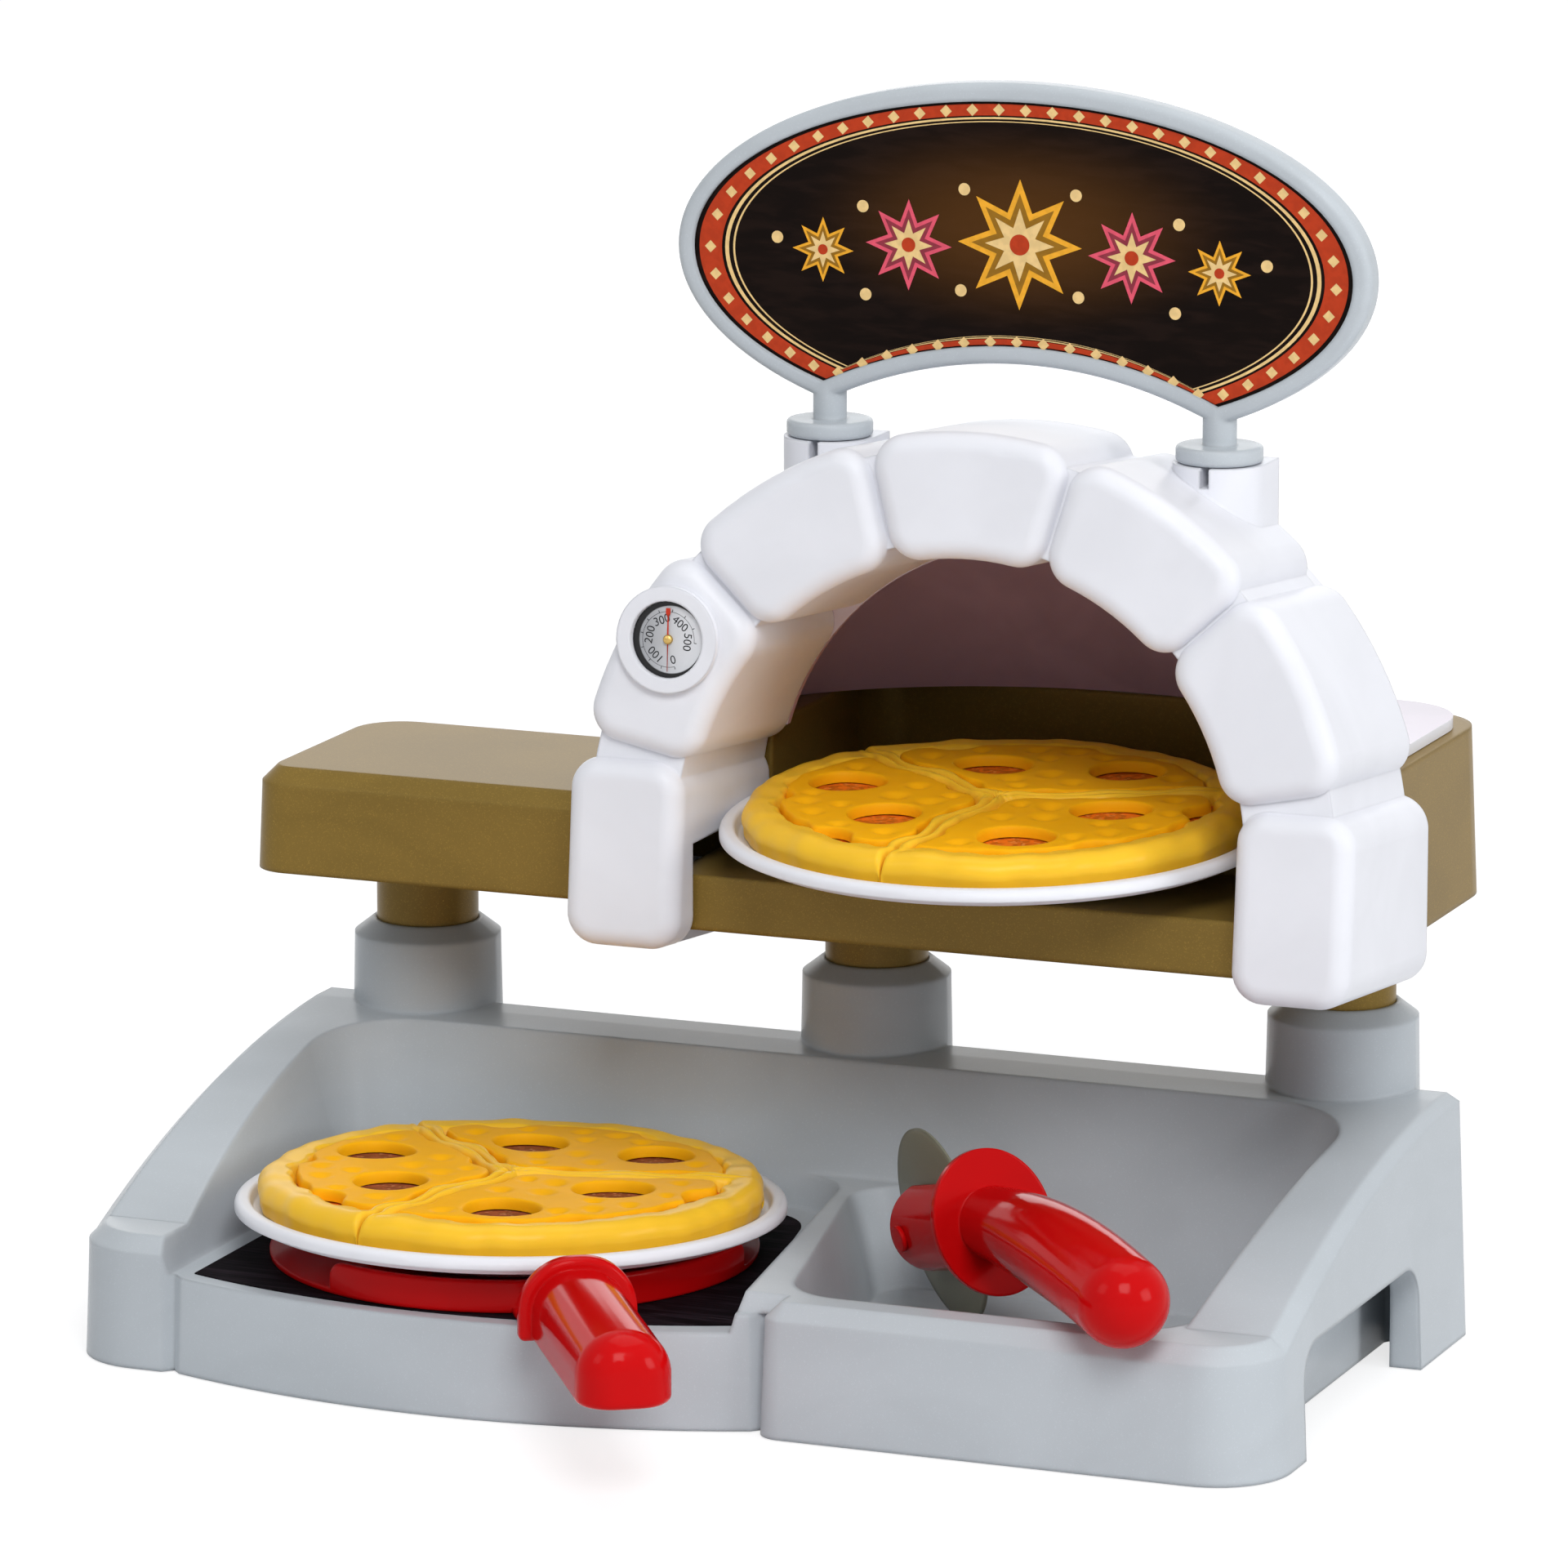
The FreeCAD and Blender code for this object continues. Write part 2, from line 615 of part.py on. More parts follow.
def make_base_tray():
    body = new_body("base_tray")
    half = s.base_width / 2
    front = row(s.base_front)
    back = row(-s.base_back)
    groove = s.apron_groove
    apron_left = s.base_width / 2 - s.apron_margin
    apron_span = apron_left + s.apron_right - groove
    bin_left = s.apron_right + groove
    floor = (
        Corner(-half, back, s.back_corner),
        Corner(-half, front, s.front_corner),
        Corner(-apron_left - groove, front),
        Corner(-apron_left, front + groove),
        Corner(-apron_left + groove, front, arc=bow_radius(apron_span, s.apron_bow)),
        Corner(s.apron_right, front + groove * 2),
        Corner(bin_left, front + groove * 3),
        Corner(bin_left, front, s.bin_corner_round),
        Corner(half, front, s.front_corner),
        Corner(half, back, s.back_corner),
    )
    shoulder = s.bin_rim_height - s.base_chamfer
    pad(body, outline(body, "floor", "XY_Plane", floor), shoulder, taper=-s.base_draft)

    inset = base_inset(shoulder)
    side = half - inset
    step = front + groove * 3
    rim = (
        Corner(-side, row(s.tub_back)),
        Corner(-side, front + inset, s.front_corner - inset),
        Corner(-apron_left, front + inset),
        Corner(-apron_left, step),
        Corner(bin_left + inset, step),
        Corner(bin_left + inset, front + inset, s.bin_corner_round - inset),
        Corner(side, front + inset, s.front_corner - inset),
        Corner(side, row(s.tub_back)),
    )
    sketch = outline(body, "rim", "XY_Plane", rim, lift=shoulder)
    pad(body, sketch, s.base_chamfer, taper=-EIGHTH_TURN)

    wings = (
        Corner(-side, back - inset, s.back_corner - inset),
        Corner(-side, row(s.wing_foot)),
        Corner(side, row(s.wing_foot)),
        Corner(side, back - inset, s.back_corner - inset),
    )
    sketch = outline(body, "wings", "XY_Plane", wings, lift=shoulder)
    pad(body, sketch, s.rail_height - shoulder, taper=-s.base_draft)

    beyond = front - s.apron_bow - s.cut_overrun
    above = s.rail_height + s.cut_overrun
    wing_rise = s.rail_height - s.bin_rim_height
    wing_run = s.wing_foot - s.wing_head
    chord = root(wing_run * wing_run + wing_rise * wing_rise)
    wing_start = Corner(
        row(s.wing_foot), s.bin_rim_height, arc=bow_radius(chord, s.wing_bow), hollow=True,
    )
    wing_line = (
        Corner(beyond, s.bin_rim_height),
        wing_start,
        Corner(row(s.wing_head), s.rail_height),
        Corner(row(s.wing_head), above),
        Corner(beyond, above),
    )
    sketch = outline(body, "wing_line", "YZ_Plane", wing_line)
    pocket(body, sketch, s.base_width + s.cut_overrun, both_ways=True)
    chamfer_wings(body, wing_start, side, back)

    cut_tub(body, front, beyond, above)
    hollow_base_tray(body, half, front, back)

    bore = s.leg_radius + s.seat_gap
    shoulder = s.socket_top - s.socket_chamfer
    for name, x in leg_places():
        socket = (
            Corner(0, 0),
            Corner(s.socket_foot_radius, 0),
            Corner(s.socket_radius, shoulder),
            Corner(bore + s.socket_lip, s.socket_top),
            Corner(bore, s.socket_top),
            Corner(bore, s.leg_seat),
            Corner(0, s.leg_seat),
        )
        revolve(body, f"socket_{name}", socket, x, row(0))
    for name, x in leg_places():
        sketch = ring(body, f"bore_{name}", x, row(0), bore, lift=s.leg_seat)
        pocket(body, sketch, s.socket_top + s.cut_overrun - s.leg_seat)
        sketch = ring(body, f"column_{name}", x, row(0), s.leg_radius)
        pocket(body, sketch, s.leg_seat - s.wall)
        sketch = ring(body, f"screw_hole_{name}", x, row(0), s.screw_radius + s.seat_gap)
        pocket(body, sketch, s.leg_seat + s.cut_overrun)
    keep(body, "base_tray")


def chamfer_wings(body, wing_start, side, back):
    """Chamfer the wings and the rail: their top line, swept outwards and down at the same rate."""
    reach = s.base_chamfer + s.cut_overrun
    above = s.rail_height + reach
    top_line = (
        wing_start,
        Corner(row(s.wing_head), s.rail_height),
        Corner(back + s.cut_overrun, s.rail_height),
        Corner(back + s.cut_overrun, above),
        Corner(row(s.wing_foot), above),
    )
    for name, sign in (("left", -1), ("right", 1)):
        lift = sign * (side - s.base_chamfer)
        sketch = outline(body, f"wing_edge_{name}", "YZ_Plane", top_line, lift=lift)
        slanted = FreeCAD.Vector(sign, 0, -1)
        pocket(body, sketch, reach * root(as_size(2)), along=slanted)
    top_back = back - base_inset(s.rail_height)
    back_edge = (
        Corner(top_back - reach, s.rail_height + s.cut_overrun),
        Corner(top_back + s.cut_overrun, s.rail_height - reach),
        Corner(top_back + s.cut_overrun, s.rail_height + s.cut_overrun),
    )
    sketch = outline(body, "back_edge", "YZ_Plane", back_edge)
    pocket(body, sketch, s.base_width + s.cut_overrun, both_ways=True)


def cut_tub(body, front, beyond, above):
    """Worktop and bin with leaning walls that run on into the space above the rim."""
    def walls(height):
        inset = tub_inset(height)
        return tub_half_width() - inset, row(s.tub_back + inset), s.tub_corner - inset

    side, back, corner = walls(s.worktop_height)
    near, far = divider_line(-tub_inset(s.worktop_height))
    worktop = (
        Corner(-side, beyond),
        Corner(near, beyond),
        Corner(far, back, corner),
        Corner(-side, back, corner),
    )
    sketch = outline(body, "worktop", "XY_Plane", worktop, lift=s.worktop_height)
    pocket(body, sketch, s.bin_rim_height - s.worktop_height, taper=s.tub_draft)

    side, back, corner = walls(s.bin_floor_height)
    near, far = divider_line(s.divider_width + tub_inset(s.bin_floor_height))
    bin_front = front + s.bin_front_wall + tub_inset(s.bin_floor_height)
    bin_hollow = (
        Corner(near, bin_front, corner),
        Corner(side, bin_front, corner),
        Corner(side, back, corner),
        Corner(far, back, corner),
    )
    sketch = outline(body, "bin", "XY_Plane", bin_hollow, lift=s.bin_floor_height)
    pocket(body, sketch, s.bin_rim_height - s.bin_floor_height, taper=s.tub_draft)

    side, back, corner = walls(s.bin_rim_height)
    tub = (
        Corner(-side, beyond),
        Corner(side, beyond),
        Corner(side, back, corner),
        Corner(-side, back, corner),
    )
    sketch = outline(body, "tub", "XY_Plane", tub, lift=s.bin_rim_height)
    pocket(body, sketch, above - s.bin_rim_height, taper=s.tub_draft)


def hollow_base_tray(body, half, front, back):
    """Open the underside, and cut the notches in the side walls."""
    low = s.worktop_height - s.wall
    inset = tub_inset(as_size(0))
    side = tub_half_width() - inset
    tub_back = row(s.tub_back + inset)
    near, far = divider_line(-s.wall)
    under_worktop = (
        Corner(-side, front + s.wall * 2),
        Corner(near, front + s.apron_groove * 3 + s.wall),
        Corner(far, tub_back),
        Corner(-side, tub_back),
    )
    pocket(body, outline(body, "under_worktop", "XY_Plane", under_worktop), low)

    near, far = divider_line(s.divider_width + inset)
    bin_front = front + s.bin_front_wall + inset
    under_bin = (
        Corner(near, bin_front),
        Corner(side, bin_front),
        Corner(side, tub_back),
        Corner(far, tub_back),
    )
    pocket(body, outline(body, "under_bin", "XY_Plane", under_bin), s.bin_floor_height - s.wall)

    front_wall = (
        Corner(near, front + s.wall * 2),
        Corner(side, front + s.wall * 2),
        Corner(side, front + s.bin_front_wall - s.wall),
        Corner(near, front + s.bin_front_wall - s.wall),
    )
    pocket(body, outline(body, "front_wall", "XY_Plane", front_wall), low)

    skin = s.wall * 2
    inner_back = back - skin
    rail_top = s.rail_height - s.wall
    rail_hollow = (
        Corner(tub_back + skin, 0),
        Corner(inner_back, 0),
        Corner(inner_back, rail_top - s.base_chamfer),
        Corner(inner_back - s.base_chamfer, rail_top),
        Corner(row(s.tub_back + tub_inset(s.rail_height)) + skin, rail_top),
    )
    sketch = outline(body, "rail_hollow", "YZ_Plane", rail_hollow)
    pocket(body, sketch, (tub_half_width() - skin) * 2, both_ways=True)

    for name, sign in (("left", -1), ("right", 1)):
        near = tub_half_width() - tub_inset(s.rail_height) + s.wall
        far = half - skin - s.base_chamfer
        rise = s.rail_height - s.bin_rim_height
        slope = rise / (s.wing_foot - s.wing_head)
        start = s.wing_foot - skin * 2
        wing_hollow = (
            Corner(row(start), 0),
            Corner(inner_back, 0),
            Corner(inner_back, rail_top - s.base_chamfer),
            Corner(row(s.wing_head + skin), rail_top - s.base_chamfer),
            Corner(row(start), s.bin_rim_height + slope * skin - s.base_chamfer - s.wall),
        )
        sketch = outline(body, f"wing_hollow_{name}", "YZ_Plane", wing_hollow, lift=sign * near)
        pocket(body, sketch, far - near, upwards=sign > 0)
        notch = (
            Corner(row(s.notch_front), -s.cut_overrun),
            Corner(row(s.notch_back), -s.cut_overrun),
            Corner(row(s.notch_back), s.notch_height, s.notch_corner),
            Corner(row(s.notch_front), s.notch_height, s.notch_corner),
        )
        sketch = outline(body, f"notch_{name}", "YZ_Plane", notch, lift=sign * (half + s.cut_overrun))
        pocket(body, sketch, half + s.cut_overrun - near - s.wall, upwards=sign < 0)


# printed mat on the worktop, following the apron's bow
def make_work_mat():
    body = new_body("work_mat")
    inset = tub_inset(s.worktop_height) + s.mat_margin
    left = inset - tub_half_width()
    near, far = divider_line(-inset)
    front = row(s.base_front) + s.mat_margin
    mat = (
        Corner(left, front, arc=bow_radius(near - left, s.apron_bow)),
        Corner(near, front + s.apron_groove * 2),
        Corner(far, row(s.tub_back + inset), s.tub_corner),
        Corner(left, row(s.tub_back + inset), s.tub_corner),
    )
    pad(body, outline(body, "mat", "XY_Plane", mat, lift=s.worktop_height), s.mat_thickness)
    keep(body, "work_mat")


# legs: tubes with a closed foot that a screw pulls into the socket
def make_legs():
    for name, x in leg_places():
        body = new_body(f"leg_{name}")
        inside = s.leg_radius - s.leg_wall
        foot = s.leg_seat + s.leg_foot
        profile = (
            Corner(s.screw_radius, s.leg_seat),
            Corner(s.leg_radius, s.leg_seat),
            Corner(s.leg_radius, s.deck_bottom),
            Corner(inside, s.deck_bottom),
            Corner(inside, foot),
            Corner(s.screw_radius, foot),
        )
        revolve(body, f"leg_{name}_tube", profile, x, row(0))
        keep(body, f"leg_{name}")


def make_leg_screws():
    screws = []
    for name, x in leg_places():
        top = s.leg_seat - s.wall
        head = primitive(
            "Cylinder", f"leg_screw_head_{name}", x, row(0), top - s.screw_head_height,
            Radius=s.screw_head_radius, Height=s.screw_head_height,
        )
        shank = primitive(
            "Cylinder", f"leg_screw_shank_{name}", x, row(0), top,
            Radius=s.screw_radius, Height=s.screw_length,
        )
        screws.append(fuse([head, shank], f"leg_screw_{name}"))
    group = doc.addObject("Part::Compound", "leg_screws")
    group.Links = screws
    keep(group, "leg_screws")


# counter: side shelf, podium round the oven floor, lip in the oven's mouth, hollow below
def deck_inset(height):
    """How far the counter's outer walls stand inside their line at its underside."""
    return (height - s.deck_bottom) * sine(s.deck_draft) / cosine(s.deck_draft)


def make_counter_deck():
    body = new_body("counter_deck")
    left = s.oven_x - s.podium_half_width
    right = s.oven_x + s.podium_half_width
    room = s.foot_inside - s.seat_gap
    notch = row(s.arch_rear) + s.seat_gap
    shelf_right = s.oven_x - s.foot_outside - s.seat_gap * 2
    shoulder = s.wing_top - s.deck_chamfer
    sketch = outline(body, "shelf", "XY_Plane", shelf_line(as_size(0)), lift=s.deck_bottom)
    pad(body, sketch, shoulder - s.deck_bottom, taper=-s.deck_draft)
    sketch = outline(body, "shelf_top", "XY_Plane", shelf_line(deck_inset(shoulder)), lift=shoulder)
    pad(body, sketch, s.deck_chamfer, taper=-EIGHTH_TURN)
    foot_room = (
        Corner(shelf_right, row(s.shelf_front) - s.cut_overrun),
        Corner(s.oven_x, row(s.shelf_front) - s.cut_overrun),
        Corner(s.oven_x, notch),
        Corner(shelf_right, notch),
    )
    sketch = outline(body, "foot_room", "XY_Plane", foot_room, lift=s.deck_bottom)
    pocket(body, sketch, s.wing_top - s.deck_bottom + s.cut_overrun)

    podium = (
        Corner(left, row(-s.podium_back), s.podium_corner),
        Corner(left, notch),
        Corner(right, notch),
        Corner(right, row(-s.podium_back), s.podium_corner),
    )
    sketch = outline(body, "podium", "XY_Plane", podium, lift=s.deck_bottom)
    pad(body, sketch, s.podium_top - s.deck_bottom, taper=-s.deck_draft)

    lip = s.tongue_half_width
    front_lip = (
        Corner(s.oven_x - lip, row(s.tongue_front), s.tongue_corner),
        Corner(s.oven_x + lip, row(s.tongue_front), s.tongue_corner),
        Corner(s.oven_x + lip, notch + s.deck_wall),
        Corner(s.oven_x - lip, notch + s.deck_wall),
    )
    sketch = outline(body, "tongue", "XY_Plane", front_lip, lift=s.deck_bottom)
    pad(body, sketch, s.oven_floor - s.deck_bottom)

    floor = s.oven_floor + s.floor_step
    cavity = (
        Corner(s.oven_x - room, notch - s.cut_overrun),
        Corner(s.oven_x + room, notch - s.cut_overrun),
        Corner(s.oven_x + room, row(-s.cavity_back), s.cavity_corner),
        Corner(s.oven_x - room, row(-s.cavity_back), s.cavity_corner),
    )
    sketch = outline(body, "cavity", "XY_Plane", cavity, lift=floor)
    pocket(body, sketch, s.podium_top - floor + s.cut_overrun)

    hollow_counter_deck(body, left, right, room, notch, shelf_right)
    keep(body, "counter_deck")


def shelf_line(inset):
    """Outline of the side shelf, which runs on into the podium."""
    far = s.oven_x - s.foot_inside
    return (
        Corner(inset - s.deck_left, row(-s.shelf_back) - inset, s.shelf_back_corner - inset),
        Corner(inset - s.deck_left, row(s.shelf_front) + inset, s.shelf_front_corner - inset),
        Corner(far, row(s.shelf_front) + inset),
        Corner(far, row(-s.shelf_back) - inset),
    )


def hollow_counter_deck(body, left, right, room, notch, shelf_right):
    """Open the underside to an even wall, and hang the spigots for the legs in it."""
    wall = s.deck_wall
    lip = s.tongue_half_width
    below_floor = s.oven_floor - wall - s.deck_bottom
    under_shelf = (
        Corner(wall - s.deck_left, row(wall - s.shelf_back), s.shelf_back_corner - wall),
        Corner(wall - s.deck_left, row(s.shelf_front - wall), s.shelf_front_corner - wall),
        Corner(shelf_right - wall, row(s.shelf_front - wall)),
        Corner(shelf_right - wall, row(wall - s.shelf_back)),
    )
    sketch = outline(body, "under_shelf", "XY_Plane", under_shelf, lift=s.deck_bottom)
    pocket(body, sketch, s.wing_top - s.deck_bottom - s.deck_chamfer, taper=-s.deck_draft)

    under_lip = (
        Corner(s.oven_x - lip + wall, row(s.tongue_front - wall)),
        Corner(s.oven_x + lip - wall, row(s.tongue_front - wall)),
        Corner(s.oven_x + lip - wall, notch),
        Corner(s.oven_x - lip + wall, notch),
    )
    sketch = outline(body, "under_lip", "XY_Plane", under_lip, lift=s.deck_bottom)
    pocket(body, sketch, below_floor)
    under_floor = (
        Corner(s.oven_x - room + wall, notch - wall),
        Corner(s.oven_x + room - wall, notch - wall),
        Corner(s.oven_x + room - wall, row(-s.cavity_back)),
        Corner(s.oven_x - room + wall, row(-s.cavity_back)),
    )
    sketch = outline(body, "under_floor", "XY_Plane", under_floor, lift=s.deck_bottom)
    pocket(body, sketch, below_floor)

    hollow_top = s.podium_top - wall - s.deck_bottom
    for side, sign, outer in (("left", -1, left), ("right", 1, right)):
        inner = s.oven_x + sign * (room + wall)
        under_side = (
            Corner(outer - sign * wall, notch + wall),
            Corner(inner, notch + wall),
            Corner(inner, row(-s.cavity_back)),
            Corner(outer - sign * wall, row(-s.cavity_back)),
        )
        sketch = outline(body, f"under_podium_{side}", "XY_Plane", under_side, lift=s.deck_bottom)
        pocket(body, sketch, hollow_top, taper=-s.deck_draft)

    for name, x in leg_places():
        ceiling = s.oven_floor - s.deck_bottom if name != "left" else s.wing_top - s.deck_bottom
        lower = ring(
            body, f"spigot_{name}", x, row(0), s.spigot_radius,
            lift=s.deck_bottom - s.spigot_length,
        )
        pad(body, lower, s.spigot_length + ceiling - s.deck_chamfer)
        outer = ring(body, f"boss_{name}", x, row(0), s.leg_radius + s.boss_width, lift=s.deck_bottom)
        pad(body, outer, ceiling - wall)


# stone arch of the oven: pillow stones on a recessed ring, hollow from behind, with two towers
def make_oven_arch():
    outer = s.mouth_radius + s.stone_thickness
    depth = s.arch_front - s.arch_rear + s.stone_thickness / 2
    foot_rise = s.arch_foot_top - s.arch_spring
    stone_rise = s.stone_start - s.arch_spring
    foot_drop = s.arch_spring - s.arch_foot_bottom
    rear = s.stone_thickness / 2
    first = math.degrees(math.asin(stone_rise.value / outer.value))
    gap = math.degrees(s.stone_gap.value / outer.value)
    span = (HALF_TURN - 2 * first - (ARCH_STONES + 1) * gap) / ARCH_STONES
    pieces = []
    for index in range(ARCH_STONES):
        start = first + gap + index * (span + gap)
        turn = UPRIGHT.multiply(FreeCAD.Rotation(Z_AXIS, start))
        wedge = primitive(
            "Cylinder", f"stone_{index}", y=rear, turn=turn, angle=span, Radius=outer, Height=depth,
        )
        bore = primitive(
            "Cylinder", f"stone_bore_{index}", y=rear + s.cut_overrun, turn=UPRIGHT,
            Radius=s.mouth_radius, Height=depth + s.cut_overrun * 2,
        )
        pieces.append(pillow(cut(wedge, bore, f"stone_cut_{index}"), f"pillow_{index}"))
    for side, sign in (("left", -1), ("right", 1)):
        near = sign * s.foot_inside
        far = sign * s.foot_outside
        x = (far, near) if sign < 0 else (near, far)
        foot = block(f"foot_{side}", x, (rear - depth, rear), (-foot_drop, foot_rise))
        pieces.append(pillow(foot, f"foot_pillow_{side}"))

    groove = s.stone_groove
    core_front = rear - depth + groove
    core = arch_ring("core", s.mouth_radius + groove, outer - groove, core_front, rear, foot_drop / 2)
    solid = fuse(pieces + [core], "arch_solid")
    shell = groove + s.wall
    hollow = arch_ring(
        "arch_hollow", s.mouth_radius + shell, outer - shell, core_front + s.wall,
        rear + s.cut_overrun, foot_drop / 2,
    )
    leaning = cut(solid, hollow, "arch_leaning")
    place(leaning, s.oven_x, row(s.arch_rear), s.arch_spring,
          FreeCAD.Rotation(X_AXIS, -s.arch_lean.value))

    towers = []
    bores = []
    for side, sign in (("left", -1), ("right", 1)):
        x = s.oven_x + sign * s.post_half_spacing
        towers.append(primitive(
            "Cylinder", f"tower_{side}", x, row(s.sign_row), s.tower_top - s.tower_depth,
            Radius=s.tower_radius, Height=s.tower_depth,
        ))
        towers.append(block(
            f"tower_back_{side}", (x - s.tower_radius, x + s.tower_radius),
            (row(s.sign_row), row(s.arch_rear)), (s.tower_top - s.tower_depth, s.tower_top),
        ))
        near = s.foot_inside - s.cut_overrun
        far = s.tongue_half_width + s.seat_gap
        room = (s.oven_x - far, s.oven_x - near) if sign < 0 else (s.oven_x + near, s.oven_x + far)
        bores.append(block(
            f"lip_room_{side}", room,
            (row(s.tongue_front + s.tongue_play), row(s.arch_rear) + s.cut_overrun),
            (s.arch_foot_bottom - s.cut_overrun, s.tongue_room),
        ))
        bores.append(primitive(
            "Cylinder", f"tower_bore_{side}", x, row(s.sign_row),
            s.tower_top - s.peg_length - s.rest_gap,
            Radius=s.peg_radius + s.running_fit, Height=s.peg_length + s.cut_overrun,
        ))
        bores.append(block(
            f"tower_slot_{side}", (x - s.tower_slot / 2, x + s.tower_slot / 2),
            (row(s.sign_row + s.tower_radius + s.cut_overrun), row(s.sign_row)),
            (s.tower_top - s.tower_slot * 2, s.tower_top + s.cut_overrun),
        ))
    bezel = on_arch_face("Cylinder", "bezel", Radius=s.bezel_radius, Height=s.bezel_height + groove)
    well = on_arch_face(
        "Cylinder", "dial_well", -s.cut_overrun, Radius=s.dial_radius + s.seat_gap,
        Height=s.cut_overrun + s.bezel_height + s.seat_gap,
    )
    behind = block(
        "behind_arch", (s.oven_x - outer * 2, s.oven_x + outer * 2),
        (row(s.arch_rear), row(s.arch_rear) + outer), (0, s.arch_spring + outer * 2),
    )
    built = fuse([leaning, bezel] + towers, "arch_built")
    tools = fuse([behind, well] + bores, "arch_tools")
    keep(cut(built, tools, "oven_arch"), "oven_arch")


def pillow(stone, name):
    """Round a stone's corners, seen from the front, then all its other edges."""
    depth = s.stone_corner.value
    cornered = soften(
        stone, s.stone_corner, f"{name}_corners", lambda edge: edge.BoundBox.YLength > depth)
    return soften(cornered, s.stone_round, name)


def arch_ring(name, inner, outer, front, rear, drop):
    """Half ring on two straight legs, from front to rear."""
    parts_of_ring = []
    depth = as_size(rear) - front
    wedge = primitive(
        "Cylinder", f"{name}_round", y=rear, turn=UPRIGHT, angle=HALF_TURN, Radius=outer, Height=depth,
    )
    bore = primitive(
        "Cylinder", f"{name}_bore", y=rear + s.cut_overrun, turn=UPRIGHT,
        Radius=inner, Height=depth + s.cut_overrun * 2,
    )
    parts_of_ring.append(cut(wedge, bore, f"{name}_half"))
    for side, sign in (("left", -1), ("right", 1)):
        x = (-outer, -inner) if sign < 0 else (inner, outer)
        parts_of_ring.append(block(f"{name}_{side}", x, (front, rear), (-drop, 0)))
    return fuse(parts_of_ring, f"{name}_ring")


def on_arch_face(kind, name, sunk=0, **sizes):
    """Primitive whose axis stands on the arch's leaning face, at the dial."""
    lean = s.arch_lean
    depth = s.arch_front - s.arch_rear
    up = s.dial_from_axis * sine(s.dial_turn)
    out = depth + s.bezel_height - sunk
    turn = FreeCAD.Rotation(X_AXIS, QUARTER_TURN - lean.value).multiply(
        FreeCAD.Rotation(X_AXIS, HALF_TURN))
    return primitive(
        kind, name,
        s.oven_x + s.dial_from_axis * cosine(s.dial_turn),
        row(s.arch_rear) - out * cosine(lean) + up * sine(lean),
        s.arch_spring + up * cosine(lean) + out * sine(lean),
        turn, **sizes,
    )


def make_dial():
    dial = on_arch_face(
        "Cylinder", "dial", s.bezel_height - s.dial_thickness,
        Radius=s.dial_radius, Height=s.dial_thickness,
    )
    keep(dial, "dial")


# dome behind the arch: a quarter of an ellipsoid on a flange, with a web that closes the arch
def make_oven_dome():
    front = row(s.arch_rear) + s.seat_gap
    outer = primitive(
        "Ellipsoid", "dome_outside", s.oven_x, front, s.arch_spring,
        Radius1=s.dome_radius, Radius2=s.dome_radius, Radius3=s.dome_depth,
    )
    inner = primitive(
        "Ellipsoid", "dome_inside", s.oven_x, front, s.arch_spring,
        Radius1=s.dome_radius - s.wall, Radius2=s.dome_radius - s.wall, Radius3=s.dome_depth - s.wall,
    )
    for shape in (outer, inner):
        shape.Angle1 = 0
        shape.Angle2 = QUARTER_TURN
        shape.Angle3 = HALF_TURN
    flange = new_body("flange")
    edge = s.podium_half_width - s.flange_margin
    back = row(s.flange_margin - s.podium_back)
    base = s.podium_top + s.seat_gap
    corners = (
        Corner(s.oven_x - edge, back, s.podium_corner),
        Corner(s.oven_x - edge, front),
        Corner(s.oven_x + edge, front),
        Corner(s.oven_x + edge, back, s.podium_corner),
    )
    pad(flange, outline(flange, "flange_edge", "XY_Plane", corners, lift=base), s.flange_thickness)
    lower = block(
        "under_dome", (s.oven_x - s.dome_radius * 2, s.oven_x + s.dome_radius * 2),
        (front - s.cut_overrun, front + s.dome_depth * 2), (0, base),
    )
    shell = cut(fuse([outer, flange], "dome_body"), inner, "dome_shell")
    web_plate = primitive(
        "Cylinder", "web_plate", s.oven_x, front + s.wall, s.arch_spring, UPRIGHT, HALF_TURN,
        Radius=s.dome_radius, Height=s.wall,
    )
    web_hole = primitive(
        "Cylinder", "web_hole", s.oven_x, front + s.wall + s.cut_overrun, s.arch_spring, UPRIGHT,
        Radius=s.mouth_radius, Height=s.wall + s.cut_overrun * 2,
    )
    web = cut(web_plate, web_hole, "web")
    keep(cut(fuse([shell, web], "dome_with_web"), lower, "oven_dome"), "oven_dome")


# sign: an oval frame with a hollow underside on two posts, and its printed panel
def oval(name, half_length, half_width, thickness, where, direction):
    """Flat oval, thickened in one direction."""
    shape = doc.addObject("Part::Ellipse", f"{name}_line")
    bind(shape, MajorRadius=half_length, MinorRadius=half_width)
    place(shape, *where)
    solid = doc.addObject("Part::Extrusion", name)
    solid.Base = shape
    solid.DirMode = "Custom"
    solid.Dir = direction
    solid.Solid = True
    bind(solid, LengthFwd=thickness)
    return solid


def sign_shape(name, inset, y, thickness):
    """Oval less the round hollow under the sign, drawn in by inset all round."""
    plate = oval(
        f"{name}_oval", s.sign_half_width - inset, s.sign_half_height - inset, thickness,
        (s.oven_x, y, sign_middle(), UPRIGHT), Y_AXIS,
    )
    below = primitive(
        "Cylinder", f"{name}_hollow", s.oven_x, y + thickness + s.cut_overrun, sign_hollow_centre(),
        UPRIGHT, Radius=s.sign_hollow + inset, Height=thickness + s.cut_overrun * 2,
    )
    return cut(plate, below, name)


def sign_cusp():
    """Height at which the oval and its hollow meet over the posts."""
    return s.tower_top + s.rest_gap + s.collar_thickness + s.post_length


